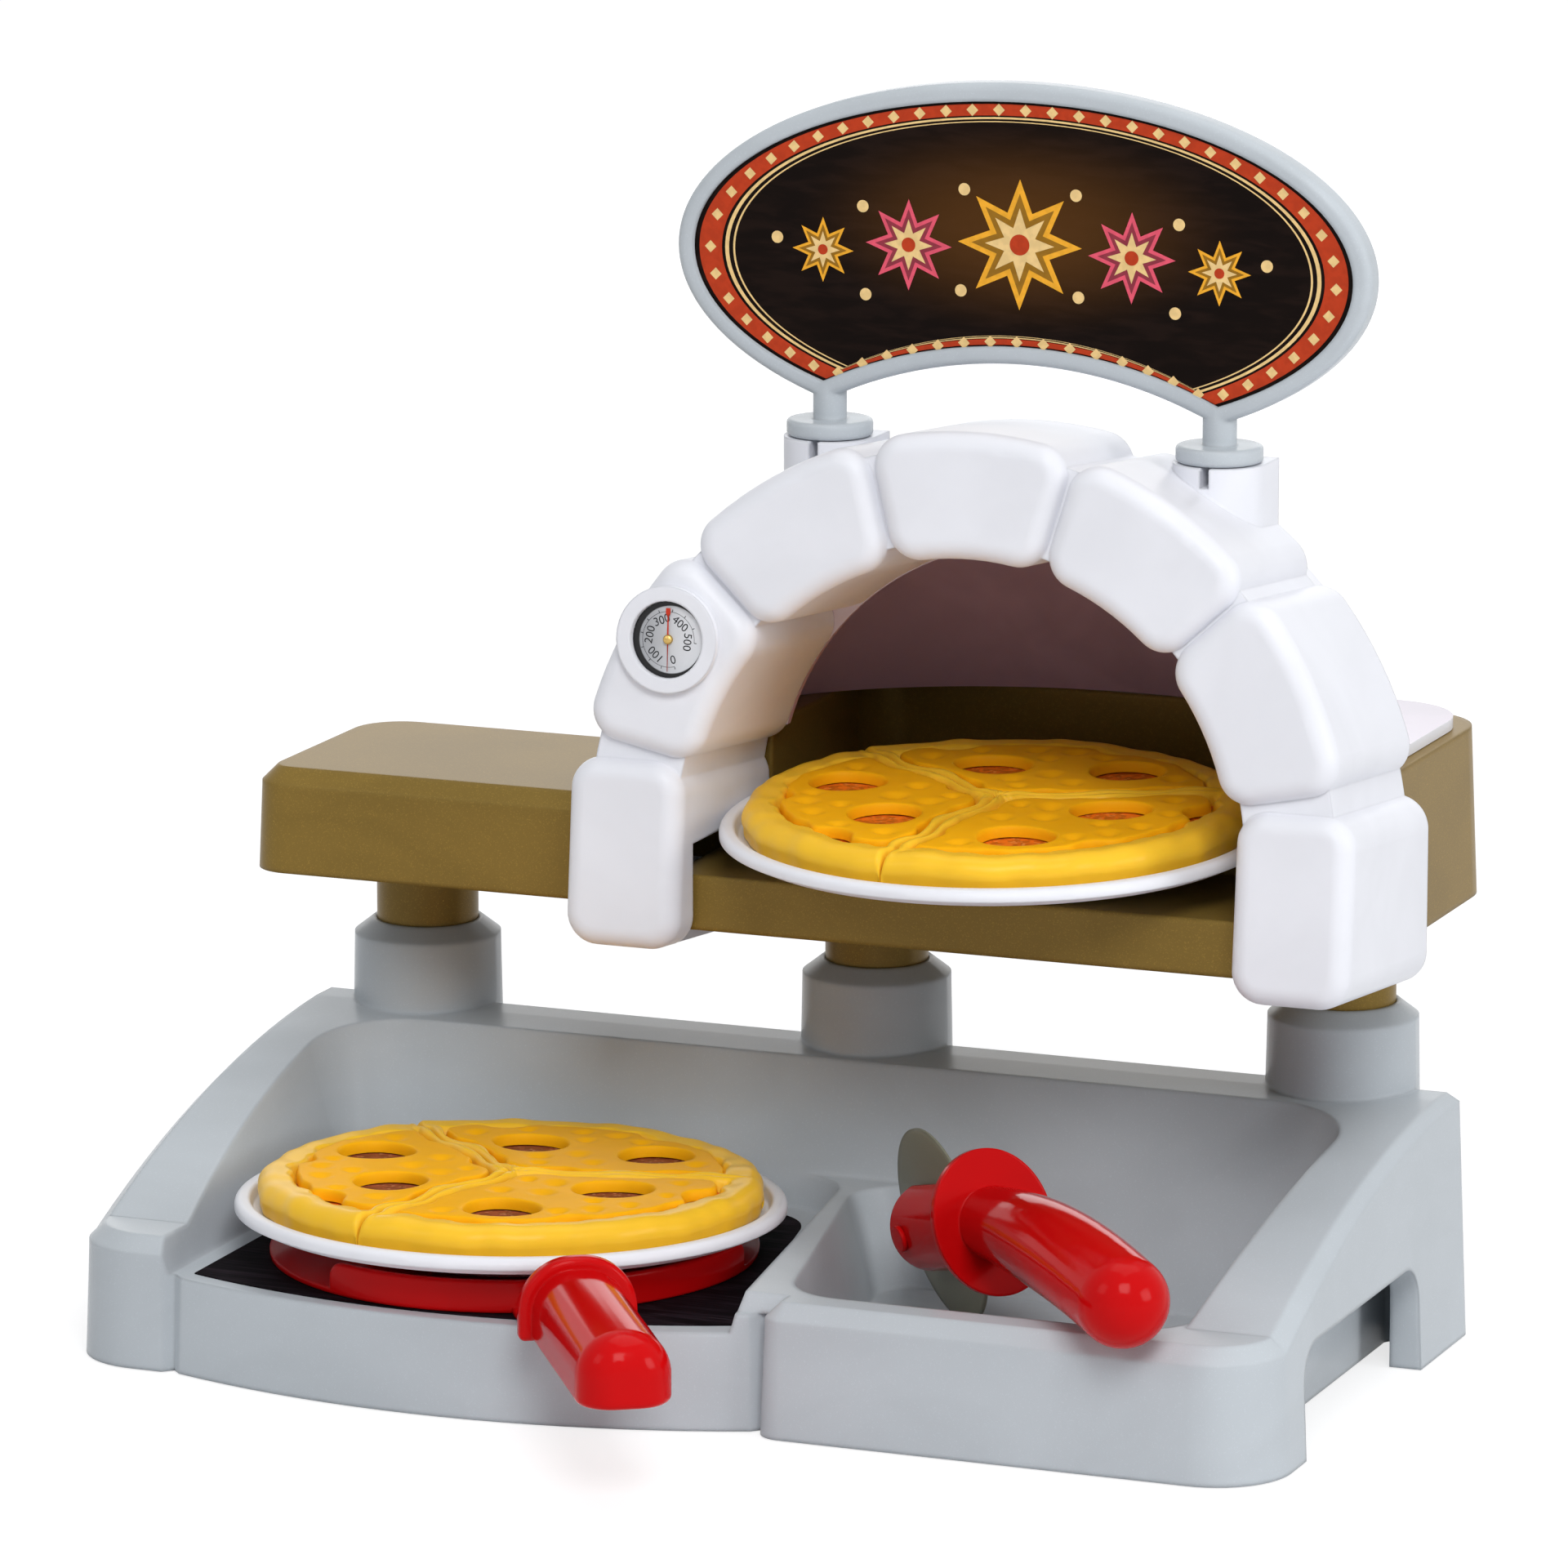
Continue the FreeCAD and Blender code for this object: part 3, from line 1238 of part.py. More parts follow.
def sign_middle():
    """Height of the oval's middle."""
    share = s.post_half_spacing / s.sign_half_width
    return sign_cusp() + s.sign_half_height * root(1 - share * share)


def sign_hollow_centre():
    """The hollow meets the oval where the posts stand."""
    reach = root(s.sign_hollow * s.sign_hollow - s.post_half_spacing * s.post_half_spacing)
    return sign_cusp() - reach


def make_sign():
    face = row(s.sign_row + s.sign_thickness / 2)
    plate = soften(
        sign_shape("sign_plate", as_size(0), face, s.sign_thickness), s.sign_edge, "sign_soft",
        lambda edge: edge.BoundBox.YLength < s.sign_edge.value,
    )
    recess = sign_shape(
        "sign_recess", s.sign_border, face - s.cut_overrun, s.cut_overrun + s.sign_recess,
    )
    frame = [cut(plate, recess, "sign_rim")]
    collar = s.tower_top + s.rest_gap
    for side, sign in (("left", -1), ("right", 1)):
        x = s.oven_x + sign * s.post_half_spacing
        y = row(s.sign_row)
        frame.append(primitive(
            "Cylinder", f"post_{side}", x, y, collar,
            Radius=s.post_radius, Height=sign_cusp() + s.sign_border - collar,
        ))
        disc = primitive(
            "Cylinder", f"collar_{side}", x, y, collar,
            Radius=s.collar_radius, Height=s.collar_thickness,
        )
        frame.append(soften(disc, s.sign_edge / 2, f"collar_soft_{side}"))
        frame.append(primitive(
            "Cylinder", f"peg_{side}", x, y, collar - s.peg_length,
            Radius=s.peg_radius, Height=s.peg_length,
        ))
    front = face - s.cut_overrun
    clear = block(
        "panel_clear", (s.oven_x - s.sign_half_width, s.oven_x + s.sign_half_width),
        (front, face + s.sign_recess), (sign_middle() - s.sign_half_height, sign_middle()),
    )
    clear_shape = common(clear, recess, "panel_space")
    keep(cut(fuse(frame, "sign_fused"), clear_shape, "sign_frame"), "sign_frame")
    panel = sign_shape(
        "sign_panel", s.sign_border + s.panel_play, face + s.sign_recess - s.panel_thickness,
        s.panel_thickness,
    )
    keep(panel, "sign_panel")


# plates: foot ring, flared wall, ledge for the pizza and a rolled rim
def make_plate(label, x, front, bottom, lean):
    body = new_body(label)
    wall = s.plate_wall
    rim = s.plate_radius - s.plate_rim_width
    top = s.plate_height
    roll = s.plate_rim_width / 2
    profile = (
        Corner(0, wall / 2),
        Corner(s.plate_foot_radius - wall, wall / 2),
        Corner(s.plate_foot_radius - wall, 0),
        Corner(s.plate_foot_radius, 0),
        Corner(s.plate_foot_radius + wall, wall / 2),
        Corner(s.plate_ledge_radius, s.plate_ledge_height - wall),
        Corner(rim, s.plate_ledge_height - wall),
        Corner(s.plate_radius, s.plate_ledge_height),
        Corner(s.plate_radius, top, roll),
        Corner(rim, top, roll / 2),
        Corner(rim - wall / 2, s.plate_ledge_height),
        Corner(s.plate_ledge_radius, s.plate_ledge_height),
        Corner(s.plate_foot_radius + wall, wall * 3 / 2),
        Corner(0, wall * 3 / 2),
    )
    revolve(body, f"{label}_section", profile)
    place(body, x, row(front), bottom, FreeCAD.Rotation(X_AXIS, lean.value))
    keep(body, label)


# pizza slices: crust tray with ridges along its cuts, topping insert, cheese cover with holes
def slice_outline(outer, inset):
    """Wedge between two cuts, drawn in by inset from both and ending on a circle."""
    half_angle = SLICE_ANGLE / 2
    apex = inset / sine(half_angle)
    along = apex * cosine(half_angle)
    reach = along + root(outer * outer - inset * inset) - apex * cosine(half_angle)
    end_x = reach * cosine(half_angle) + inset * sine(half_angle)
    end_y = reach * sine(half_angle) - inset * cosine(half_angle)
    return (
        Corner(apex, 0),
        Corner(end_x, -end_y, arc=outer),
        Corner(end_x, end_y),
    )


def place_slice(body, index, turn, x, front, bottom, lift, lean):
    """Put a piece of a slice over its plate's middle, lifted along the plate's leaning axis."""
    angle = turn.value + index * SLICE_ANGLE + SLICE_ANGLE / 2
    tilt = FreeCAD.Rotation(X_AXIS, lean.value).multiply(FreeCAD.Rotation(Z_AXIS, angle))
    place(body, x, row(front) - lift * sine(lean), bottom + lift * cosine(lean), tilt)


def make_crust(label):
    body = new_body(label)
    wedge = slice_outline(s.pizza_radius, s.slice_gap)
    pad(body, outline(body, f"{label}_wedge", "XY_Plane", wedge), s.crust_height)
    rim = s.pizza_radius.value
    dress(body, "Fillet", f"{label}_roll", s.crust_round, lambda edge: outer_edge(edge, rim))
    hollow = slice_outline(s.pizza_radius - s.crust_width, s.slice_gap + s.ridge_width)
    sketch = outline(
        body, f"{label}_hollow", "XY_Plane", hollow, lift=s.crust_height - s.recess_depth,
    )
    pocket(body, sketch, s.recess_depth + s.cut_overrun)
    return body


def outer_edge(edge, radius):
    """Round outer edges of a slice, not its corners."""
    box = edge.BoundBox
    middle = edge.valueAt((edge.FirstParameter + edge.LastParameter) / 2)
    return box.ZLength < SAME_PLACE and abs(math.hypot(middle.x, middle.y) - radius) < NEAR_ARC


def make_card(label):
    body = new_body(label)
    inset = s.slice_gap + s.ridge_width + s.cheese_play
    wedge = slice_outline(s.pizza_radius - s.crust_width - s.cheese_play, inset)
    pad(body, outline(body, f"{label}_wedge", "XY_Plane", wedge), s.card_thickness)
    return body


def make_cheese(label):
    body = new_body(label)
    inset = s.slice_gap + s.ridge_width + s.cheese_play
    radius = s.pizza_radius - s.crust_width - s.cheese_play
    wedge = slice_outline(radius, inset)
    pad(body, outline(body, f"{label}_wedge", "XY_Plane", wedge), s.cheese_thickness)
    for side, x, y in (
        ("outer", s.outer_hole_along, -s.outer_hole_aside),
        ("inner", s.inner_hole_along, s.inner_hole_aside),
    ):
        sketch = ring(body, f"{label}_hole_{side}", x, y, s.hole_radius)
        pocket(body, sketch, s.cheese_thickness + s.cut_overrun)
    top = s.cheese_thickness.value
    dress(body, "Fillet", f"{label}_soft", s.cheese_round, lambda edge: top_edge(edge, top))
    return body


def top_edge(edge, height):
    box = edge.BoundBox
    return abs(box.ZMin - height) < SAME_PLACE and abs(box.ZMax - height) < SAME_PLACE


def make_pizza(name, x, front, bottom, lean, turn):
    lift = s.plate_ledge_height + s.rest_gap
    floor = lift + s.crust_height - s.recess_depth
    for index in range(SLICES):
        where = (index, turn, x, front, bottom)
        crust = make_crust(f"{name}_crust_{index + 1}")
        place_slice(crust, *where, lift, lean)
        keep(crust, f"{name}_crust_{index + 1}")
        card = make_card(f"{name}_topping_{index + 1}")
        place_slice(card, *where, floor, lean)
        keep(card, f"{name}_topping_{index + 1}")
        cheese = make_cheese(f"{name}_cheese_{index + 1}")
        place_slice(cheese, *where, floor + s.card_thickness + s.rest_gap, lean)
        keep(cheese, f"{name}_cheese_{index + 1}")


# peel: round blade with a raised edge on one side, guard and domed grip, laid on the worktop
def make_peel():
    bottom = s.worktop_height + s.mat_thickness + s.rest_gap
    turn = FreeCAD.Rotation(Z_AXIS, s.peel_turn.value - QUARTER_TURN)
    disc = primitive("Cylinder", "blade_disc", Radius=s.peel_radius, Height=s.peel_thickness)
    rim_turn = FreeCAD.Rotation(Z_AXIS, -s.peel_rim_angle.value / 2)
    rim_height = s.peel_thickness + s.peel_rim_height
    wedge = primitive("Cylinder", "rim_wedge", turn=rim_turn, Radius=s.peel_radius, Height=rim_height)
    bind(wedge, Angle=s.peel_rim_angle)
    bore = primitive(
        "Cylinder", "rim_bore", z=s.peel_thickness, Radius=s.peel_radius - s.peel_rim_width,
        Height=rim_height,
    )
    tang = block(
        "tang", (s.peel_radius - s.peel_rim_width, s.guard_reach),
        (-s.grip_width / 2, s.grip_width / 2), (0, s.peel_thickness),
    )
    crest = rim_height.value
    rim = soften(cut(wedge, bore, "rim"), s.peel_rim_end, "rim_ends", lambda edge: crest_end(edge, crest))
    rim = soften(rim, s.peel_rim_round, "rim_top", lambda edge: edge.BoundBox.ZMin > crest - SAME_PLACE)
    blade = fuse([disc, rim, tang], "peel_blade")
    place(blade, s.peel_x, row(s.peel_front), bottom, turn)
    keep(blade, "peel_blade")

    body = new_body("peel_handle")
    arch_of_guard = rounded_arch(s.guard_width, s.guard_height)
    sketch = outline(body, "guard", "YZ_Plane", arch_of_guard, lift=s.guard_reach)
    pad(body, sketch, s.guard_thickness)
    dress(body, "Fillet", "guard_edges", s.guard_round, lambda edge: True)
    arch_of_grip = rounded_arch(s.grip_width, s.grip_height)
    sketch = outline(body, "grip", "YZ_Plane", arch_of_grip, lift=s.guard_reach)
    pad(body, sketch, s.grip_length)
    tip = (s.guard_reach + s.grip_length).value
    dress(body, "Fillet", "grip_tip", s.grip_round, lambda edge: grip_end(edge, tip))
    beyond = (s.guard_reach + s.guard_thickness).value
    dress(body, "Fillet", "grip_foot", s.grip_foot_round, lambda edge: foot_edge(edge, beyond))
    place(body, s.peel_x, row(s.peel_front), bottom, turn)
    keep(body, "peel_handle")


def rounded_arch(width, height):
    """Flat-bottomed section with a round top."""
    top_round = width * s.section_round_share
    return (
        Corner(-width / 2, 0),
        Corner(width / 2, 0),
        Corner(width / 2, height, top_round),
        Corner(-width / 2, height, top_round),
    )


def crest_end(edge, crest):
    """Straight edges at the top of the raised edge, one at each end."""
    return edge.BoundBox.ZMin > crest - SAME_PLACE and edge.Curve.TypeId == "Part::GeomLine"


def foot_edge(edge, beyond):
    """Bottom edges of the grip in front of the guard."""
    return edge.BoundBox.ZMax < SAME_PLACE and edge.BoundBox.XMax > beyond


def grip_end(edge, tip):
    """Edges of the grip's end face, but the flat bottom one."""
    box = edge.BoundBox
    at_tip = abs(box.XMin - tip) < SAME_PLACE and abs(box.XMax - tip) < SAME_PLACE
    return at_tip and box.ZMax > SAME_PLACE


# cutter: bent handle with an oval guard and a slotted holder, a wheel and its axle
def make_cutter():
    place_cutter = cutter_place()
    along = FreeCAD.Rotation(Y_AXIS, QUARTER_TURN)
    across = FreeCAD.Rotation(X_AXIS, -QUARTER_TURN)
    holder = primitive(
        "Cylinder", "holder", -s.holder_nose, turn=along,
        Radius=s.holder_radius, Height=s.holder_nose + s.guard_disc_reach,
    )
    disc = oval(
        "guard_disc", s.guard_disc_radius, s.guard_disc_half_width, s.guard_disc_thickness,
        (s.guard_disc_reach, 0, 0, FreeCAD.Rotation(Y_AXIS, -QUARTER_TURN)), X_AXIS,
    )
    grip = cutter_grip()
    half_slot = s.wheel_thickness / 2 + s.wheel_slot
    slot = primitive(
        "Cylinder", "wheel_room", y=-half_slot, turn=across,
        Radius=s.wheel_radius + s.wheel_slot, Height=half_slot * 2,
    )
    hole = primitive(
        "Cylinder", "axle_hole", y=-s.guard_disc_radius, turn=across,
        Radius=s.axle_radius, Height=s.guard_disc_radius * 2,
    )
    fork = cut(holder, fuse([slot, hole], "fork_tools"), "fork")
    handle = fuse([fork, disc] + grip, "cutter_handle")
    place(handle, *place_cutter)
    keep(handle, "cutter_handle")

    wheel_body = new_body("cutter_wheel")
    bore = s.axle_radius + s.running_fit
    profile = (
        Corner(bore, -s.wheel_thickness / 2),
        Corner(s.holder_radius, -s.wheel_thickness / 2),
        Corner(s.wheel_radius, -s.wheel_edge / 2),
        Corner(s.wheel_radius, s.wheel_edge / 2),
        Corner(s.holder_radius, s.wheel_thickness / 2),
        Corner(bore, s.wheel_thickness / 2),
    )
    revolve(wheel_body, "wheel_section", profile)
    x, y, z, turn = place_cutter
    place(wheel_body, x, y, z, turn.multiply(UPRIGHT))
    keep(wheel_body, "cutter_wheel")

    pin = primitive(
        "Cylinder", "axle_pin", y=-s.holder_radius, turn=across,
        Radius=s.axle_radius, Height=s.holder_radius * 2,
    )
    heads = []
    for side, y in (("a", -s.holder_radius - s.axle_head_height), ("b", s.holder_radius)):
        heads.append(primitive(
            "Cylinder", f"axle_head_{side}", y=y, turn=across,
            Radius=s.axle_head_radius, Height=s.axle_head_height,
        ))
    axle = fuse([pin] + heads, "cutter_axle")
    place(axle, *place_cutter)
    keep(axle, "cutter_axle")


def cutter_grip():
    """Grip swept through growing circles along a gentle bend, with a ball at its end."""
    sections = []
    last = len(GRIP_SHARES) - 1
    for index, growth in enumerate(GRIP_SHARES):
        angle = s.handle_angle * index / last
        radius = s.handle_root_radius + (s.handle_radius - s.handle_root_radius) * growth
        circle = doc.addObject("Part::Circle", f"grip_section_{index}")
        bind(circle, Radius=radius)
        place(
            circle, s.handle_bend * sine(angle), 0, s.handle_bend * (cosine(angle) - 1),
            FreeCAD.Rotation(Y_AXIS, QUARTER_TURN + angle.value),
        )
        sections.append(circle)
    sweep = doc.addObject("Part::Loft", "grip_sweep")
    sweep.Sections = sections
    sweep.Solid = True
    start = s.guard_disc_reach + s.guard_disc_thickness / 2
    upright = FreeCAD.Rotation(X_AXIS, -s.cutter_roll.value)
    place(sweep, start, 0, 0, upright.multiply(FreeCAD.Rotation(Y_AXIS, s.handle_droop.value)))
    end = s.handle_bend * sine(s.handle_angle)
    fall = s.handle_bend * (1 - cosine(s.handle_angle))
    reach = end * cosine(s.handle_droop) - fall * sine(s.handle_droop)
    drop = end * sine(s.handle_droop) + fall * cosine(s.handle_droop)
    tip = primitive(
        "Sphere", "grip_ball", start + reach, -drop * sine(s.cutter_roll),
        -drop * cosine(s.cutter_roll), Radius=s.handle_radius,
    )
    return [sweep, tip]


def cutter_place():
    """The leaning wheel stands on the floor of the bin, with the handle over the front rim."""
    turn = FreeCAD.Rotation(Z_AXIS, s.cutter_turn.value - QUARTER_TURN)
    turn = turn.multiply(FreeCAD.Rotation(Y_AXIS, -s.cutter_pitch.value))
    turn = turn.multiply(FreeCAD.Rotation(X_AXIS, s.cutter_roll.value))
    lean = sine(s.cutter_roll) * cosine(s.cutter_pitch)
    edge = s.wheel_radius * root(1 - lean * lean) + s.wheel_edge * lean / 2
    height = s.bin_floor_height + s.rest_gap + edge
    return s.cutter_x, row(s.cutter_front), height, turn


def make_plates_of_pizza():
    """One plate leans on the step of the oven floor, the other lies on the peel."""
    lean = slope_of(s.floor_step, s.plate_foot_radius + s.upper_plate_front - s.arch_rear)
    upper = s.oven_floor + s.rest_gap + s.plate_foot_radius * sine(lean)
    on_peel = s.worktop_height + s.mat_thickness + s.rest_gap * 2 + s.peel_thickness
    lower = on_peel + s.plate_foot_radius * sine(s.lower_plate_lean)
    back_lean = -s.lower_plate_lean
    lower_x = s.plate_margin + s.plate_radius - tub_half_width()
    for name, label, x, front, bottom, tilt, turn in (
        ("oven", "oven_plate", s.upper_plate_x, s.upper_plate_front, upper, lean, s.upper_cut_turn),
        ("served", "serving_plate", lower_x, s.lower_plate_front, lower, back_lean, s.lower_cut_turn),
    ):
        make_plate(label, x, front, bottom, tilt)
        make_pizza(name, x, front, bottom, tilt, turn)


def check_and_write():
    """Stop on anything that failed, then write every sub-part to its own file."""
    doc.recompute()
    for thing in doc.Objects:
        if "Invalid" in thing.State or "Error" in thing.State:
            raise RuntimeError(f"{thing.Name} failed: {thing.State}")
    os.makedirs("parts", exist_ok=True)
    for part in parts:
        shape = part.Shape
        if shape.isNull() or not shape.isValid() or not shape.Solids:
            raise RuntimeError(f"{part.Label} has no valid solid")
        shape.exportStep(f"parts/{part.Label}.step")
        box = shape.BoundBox
        print(f"{part.Label}: {len(shape.Solids)} solid, {shape.Volume / 1000:.1f} cm3, "
              f"y {box.YMin:.1f}..{box.YMax:.1f}, z {box.ZMin:.1f}..{box.ZMax:.1f}")


def main():
    make_base_tray()
    make_work_mat()
    make_legs()
    make_leg_screws()
    make_counter_deck()
    make_oven_arch()
    make_dial()
    make_oven_dome()
    make_sign()
    make_plates_of_pizza()
    make_peel()
    make_cutter()
    check_and_write()


main()
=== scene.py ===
"""Looks of a toy pizza station: finishes on the moulded parts, and the dough, cheese, fillings,
prints and dial worked out as surfaces. Laid out as an add-on and run as a script."""
import math

import bpy
import numpy as np
from bpy.props import FloatProperty, FloatVectorProperty, IntProperty, PointerProperty
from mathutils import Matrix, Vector
from mathutils.geometry import delaunay_2d_cdt


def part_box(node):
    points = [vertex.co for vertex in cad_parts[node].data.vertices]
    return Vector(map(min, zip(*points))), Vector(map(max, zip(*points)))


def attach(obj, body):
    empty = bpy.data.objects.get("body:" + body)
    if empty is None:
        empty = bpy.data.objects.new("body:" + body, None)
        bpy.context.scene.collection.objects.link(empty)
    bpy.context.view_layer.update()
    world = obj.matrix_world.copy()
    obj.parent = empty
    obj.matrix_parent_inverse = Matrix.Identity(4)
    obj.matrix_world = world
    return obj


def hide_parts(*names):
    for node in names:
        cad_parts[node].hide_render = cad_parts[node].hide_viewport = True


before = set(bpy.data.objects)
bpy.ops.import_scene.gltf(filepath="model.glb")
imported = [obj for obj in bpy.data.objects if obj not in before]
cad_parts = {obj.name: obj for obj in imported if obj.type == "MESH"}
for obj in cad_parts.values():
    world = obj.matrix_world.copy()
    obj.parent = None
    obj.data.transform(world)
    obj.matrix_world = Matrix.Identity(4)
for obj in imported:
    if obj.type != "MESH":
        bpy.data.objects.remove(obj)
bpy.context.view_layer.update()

bl_info = {
    "name": "Toy pizza station",
    "version": (1, 0, 0),
    "blender": (4, 5, 0),
    "location": "3D view, sidebar, Pizza station",
    "description": "Finishes, pizza, prints and stage of a toy pizza station",
    "category": "Object",
}

MM = 0.001
SLICES = 3
HALF_SLICE = math.radians(60.0)
WHOLE_TURN = 2.0 * math.pi

# where each pizza lies: middle of its plate's underside in mm, lean about X and first cut in
# degrees; then what its card shows
PIZZAS = {
    "oven": {"centre": (63.4, 47.24, 150.2986), "lean": 2.2906, "turn": 24.0, "filling": "tomato"},
    "served": {"centre": (-72.1, -15.76, 33.8565), "lean": -1.6, "turn": 17.0, "filling": "salami"},
}
# heights over the plate's underside, in mm
DOUGH_LIFT = 11.8
FILLING_LIFT = 18.4
CHEESE_LIFT = 19.5

# an edge that turns further than this is shown sharp
SHARP = math.radians(50.0)

# radius over which the finishes soften sharp moulded edges, in metres
SOFT_EDGE = 0.0024

# holes and pits of one slice: along its middle, aside from it, radius, in mm
HOLES = ((44.3, -23.2, 11.4), (35.1, 18.6, 11.4))
PITS = (
    (21.0, 6.0, 4.9), (24.0, -13.0, 4.5), (31.0, -2.0, 5.1), (58.3, 1.0, 4.6), (57.0, 13.5, 4.2),
    (55.8, -10.0, 4.0), (40.5, -41.0, 4.4), (37.0, 40.0, 4.3), (48.0, 5.5, 3.8), (13.6, -1.0, 3.4),
    (50.0, 29.5, 3.6),
)
# bays in the cheese's edge that show the sauce: along, aside, radius
BAYS = ((54.0, 41.5, 7.5), (68.0, -9.0, 6.0), (9.8, -12.5, 4.2), (15.0, 30.5, 4.0))

# how the cuts wander: sideways swing, its length along the cut and the radii between which it
# starts and ends, then the jog in the rim
WANDER = 1.15
WANDER_LENGTH = 7.2
WANDER_START = (2.0, 12.0)
WANDER_END = (62.0, 68.0)
JOG = 0.8
JOG_RADIUS = 69.0
JOG_WIDTH = 2.4

# rounding of rim and cords towards the hollow, and of their edge at a cut, with its steepness
SHOULDER = 1.9
SHOULDER_STEEP = 2.6
CUT_ROUND = 1.8
CUT_STEEP = 1.5

# outside of the crust: first and last angle of its roll, the steps between, and its
# foot as height over the plate and distance inside the roll's end
ROLL_BENDS = (math.radians(75.0), math.radians(-28.0))
ROLL_STEPS = 9
FOOT = ((1.2, 0.1), (0.35, 0.4), (0.0, 1.2))

# uneven edges round a slice: size in mm, turns, phase
RIM_WAVES = ((0.9, 9.0, 0.4), (0.6, 17.0, 1.9), (0.5, 31.0, 2.2), (0.3, 47.0, 0.9))
RIM_TOP_WAVES = ((0.25, 7.0, 1.1), (0.22, 13.0, 0.3), (0.16, 29.0, 2.5))
OUTSIDE_WAVES = ((0.35, 8.0, 0.2), (0.25, 19.0, 1.4), (0.12, 41.0, 0.5))
CHEESE_WAVES = ((0.45, 11.0, 0.5), (0.3, 23.0, 1.2), (0.2, 37.0, 2.0))
HOLE_WAVE = 0.3
HOLE_TURNS = 3.0

# cheese mesh: a point well inside it, how far its edge can lie from there, and the fineness
CHEESE_MIDDLE = 37.0
CHEESE_REACH = 62.0
HALVINGS = 40
LIP_STEPS = 7
OUTLINE_POINTS = 480
HOLE_POINTS = 96
SPACING = 1.25
ROW_RATIO = 0.866
FIELD_X = (4.0, 66.0)
FIELD_Y = (-58.0, 58.0)

# filling card: outside, thickness, how far the disc passes its hole, where its print starts and
# is full past the hole, the fineness, and mm to one unit of its UV map
CARD_REACH = 66.0
CARD_TOP = 0.55
DISC_PAST = 1.6
PRINT_PAST = (1.7, 1.2)
CARD_ROWS = 70
CARD_COLUMNS = 120
UV_SIZE = 100.0

# dial: backward tilt, then angle of zero, angle per unit and whole sweep in degrees
DIAL_TILT = math.radians(5.5)
DIAL_ZERO = -74.0
DIAL_TURN = -0.58
DIAL_SWEEP = -295.0
# its marks, and which of them have a number
DIAL_MARKS = range(0, 550, 50)
NUMBERED = 100
# how far the plane of the print lies before the disc's middle, and the ink over that plane
DIAL_FRONT = 0.21
INK_HEIGHT = 0.02
# sizes on the dial, in mm
NUMBER_SIZE = 3.7
NUMBER_RADIUS = 6.3
TICK_RADII = (8.5, 9.3)
TICK_HALF = 0.11
ARC_RADIUS = 8.55
ARC_INSIDE = 8.42
ARC_POINTS = 60
NEEDLE_ANGLE = 91.0
NEEDLE_HEIGHT = 0.55
# half of the needle's outline: along it, aside
NEEDLE_SIDE = ((0.0, 0.26), (7.6, 0.2), (8.0, 0.75), (9.6, 0.75))
TAIL_SIDE = ((0.0, 0.2), (-9.8, 0.1))
HUB_RADIUS = 1.5
HUB_FOOT = 0.6
HUB_CROWN = 0.8
HUB_SIDES = 32

# sign print, in mm from its middle, which lies at this height: stars are right, up, size and ink
SIGN_HEIGHT = 336.0
SIGN_STARS = (
    (0.0, 6.0, 20.0, "gold"), (-36.0, 4.0, 14.0, "rose"), (36.0, 4.0, 14.0, "rose"),
    (-64.0, 1.0, 10.0, "gold"), (64.0, 1.0, 10.0, "gold"),
)
STAR_TIPS = 8
SIGN_DOTS = (
    (-18.0, 22.0), (18.0, 22.0), (-19.0, -9.0), (19.0, -9.0), (-51.0, 15.0), (51.0, 15.0),
    (-50.0, -12.0), (50.0, -12.0), (-79.0, 4.0), (79.0, 4.0),
)
DOT_RADIUS = 1.9
DIAMOND = 1.9
DIAMONDS = 56
# border as shares of the panel's outline: outside, inside and ink, then the diamonds' line
SIGN_BORDERS = ((0.985, 0.915, "band"), (0.905, 0.893, "cream"), (0.880, 0.874, "cream"))
DIAMOND_LINE = 0.95
# the print lies this far before the panel
SIGN_FRONT = 0.12
# heights of one print over another
LAYERS = (0.0, 0.06, 0.12, 0.18)

# stage, in metres: what the camera looks at, and place and size of each lamp
LOOK_AT = (-0.0316, 0.10824, 0.157)
SENSOR = 36.0
LAMPS = {
    "key": ((1.05, -1.95, 2.15), (1.2, 1.2)),
    "fill": ((-1.5, -2.0, 1.8), (1.1, 1.1)),
    "side": ((2.5, -0.3, 0.9), (1.0, 1.0)),
    "top": ((0.1, 0.5, 2.2), (1.6, 1.6)),
    "back": ((-1.0, 2.6, 0.8), (2.6, 1.0)),
}
FLOOR_RADIUS = 12.0
FLOOR_SIDES = 96
FLOOR_HEIGHT = -0.0004
WHITE = (1.0, 1.0, 1.0, 1.0)


def colour(name, value, words):
    return FloatVectorProperty(
        name=name, description=words, subtype="COLOR", size=3, min=0.0, max=1.0, default=value)


def length(name, value, words):
    return FloatProperty(name=name, description=words, unit="LENGTH", default=value, precision=4)


def amount(name, value, words):
    return FloatProperty(name=name, description=words, default=value, min=0.0)


def tally(name, value, words):
    return IntProperty(name=name, description=words, default=value, min=12)


def bearing(name, value, words):
    return FloatProperty(name=name, description=words, unit="ROTATION", default=math.radians(value))


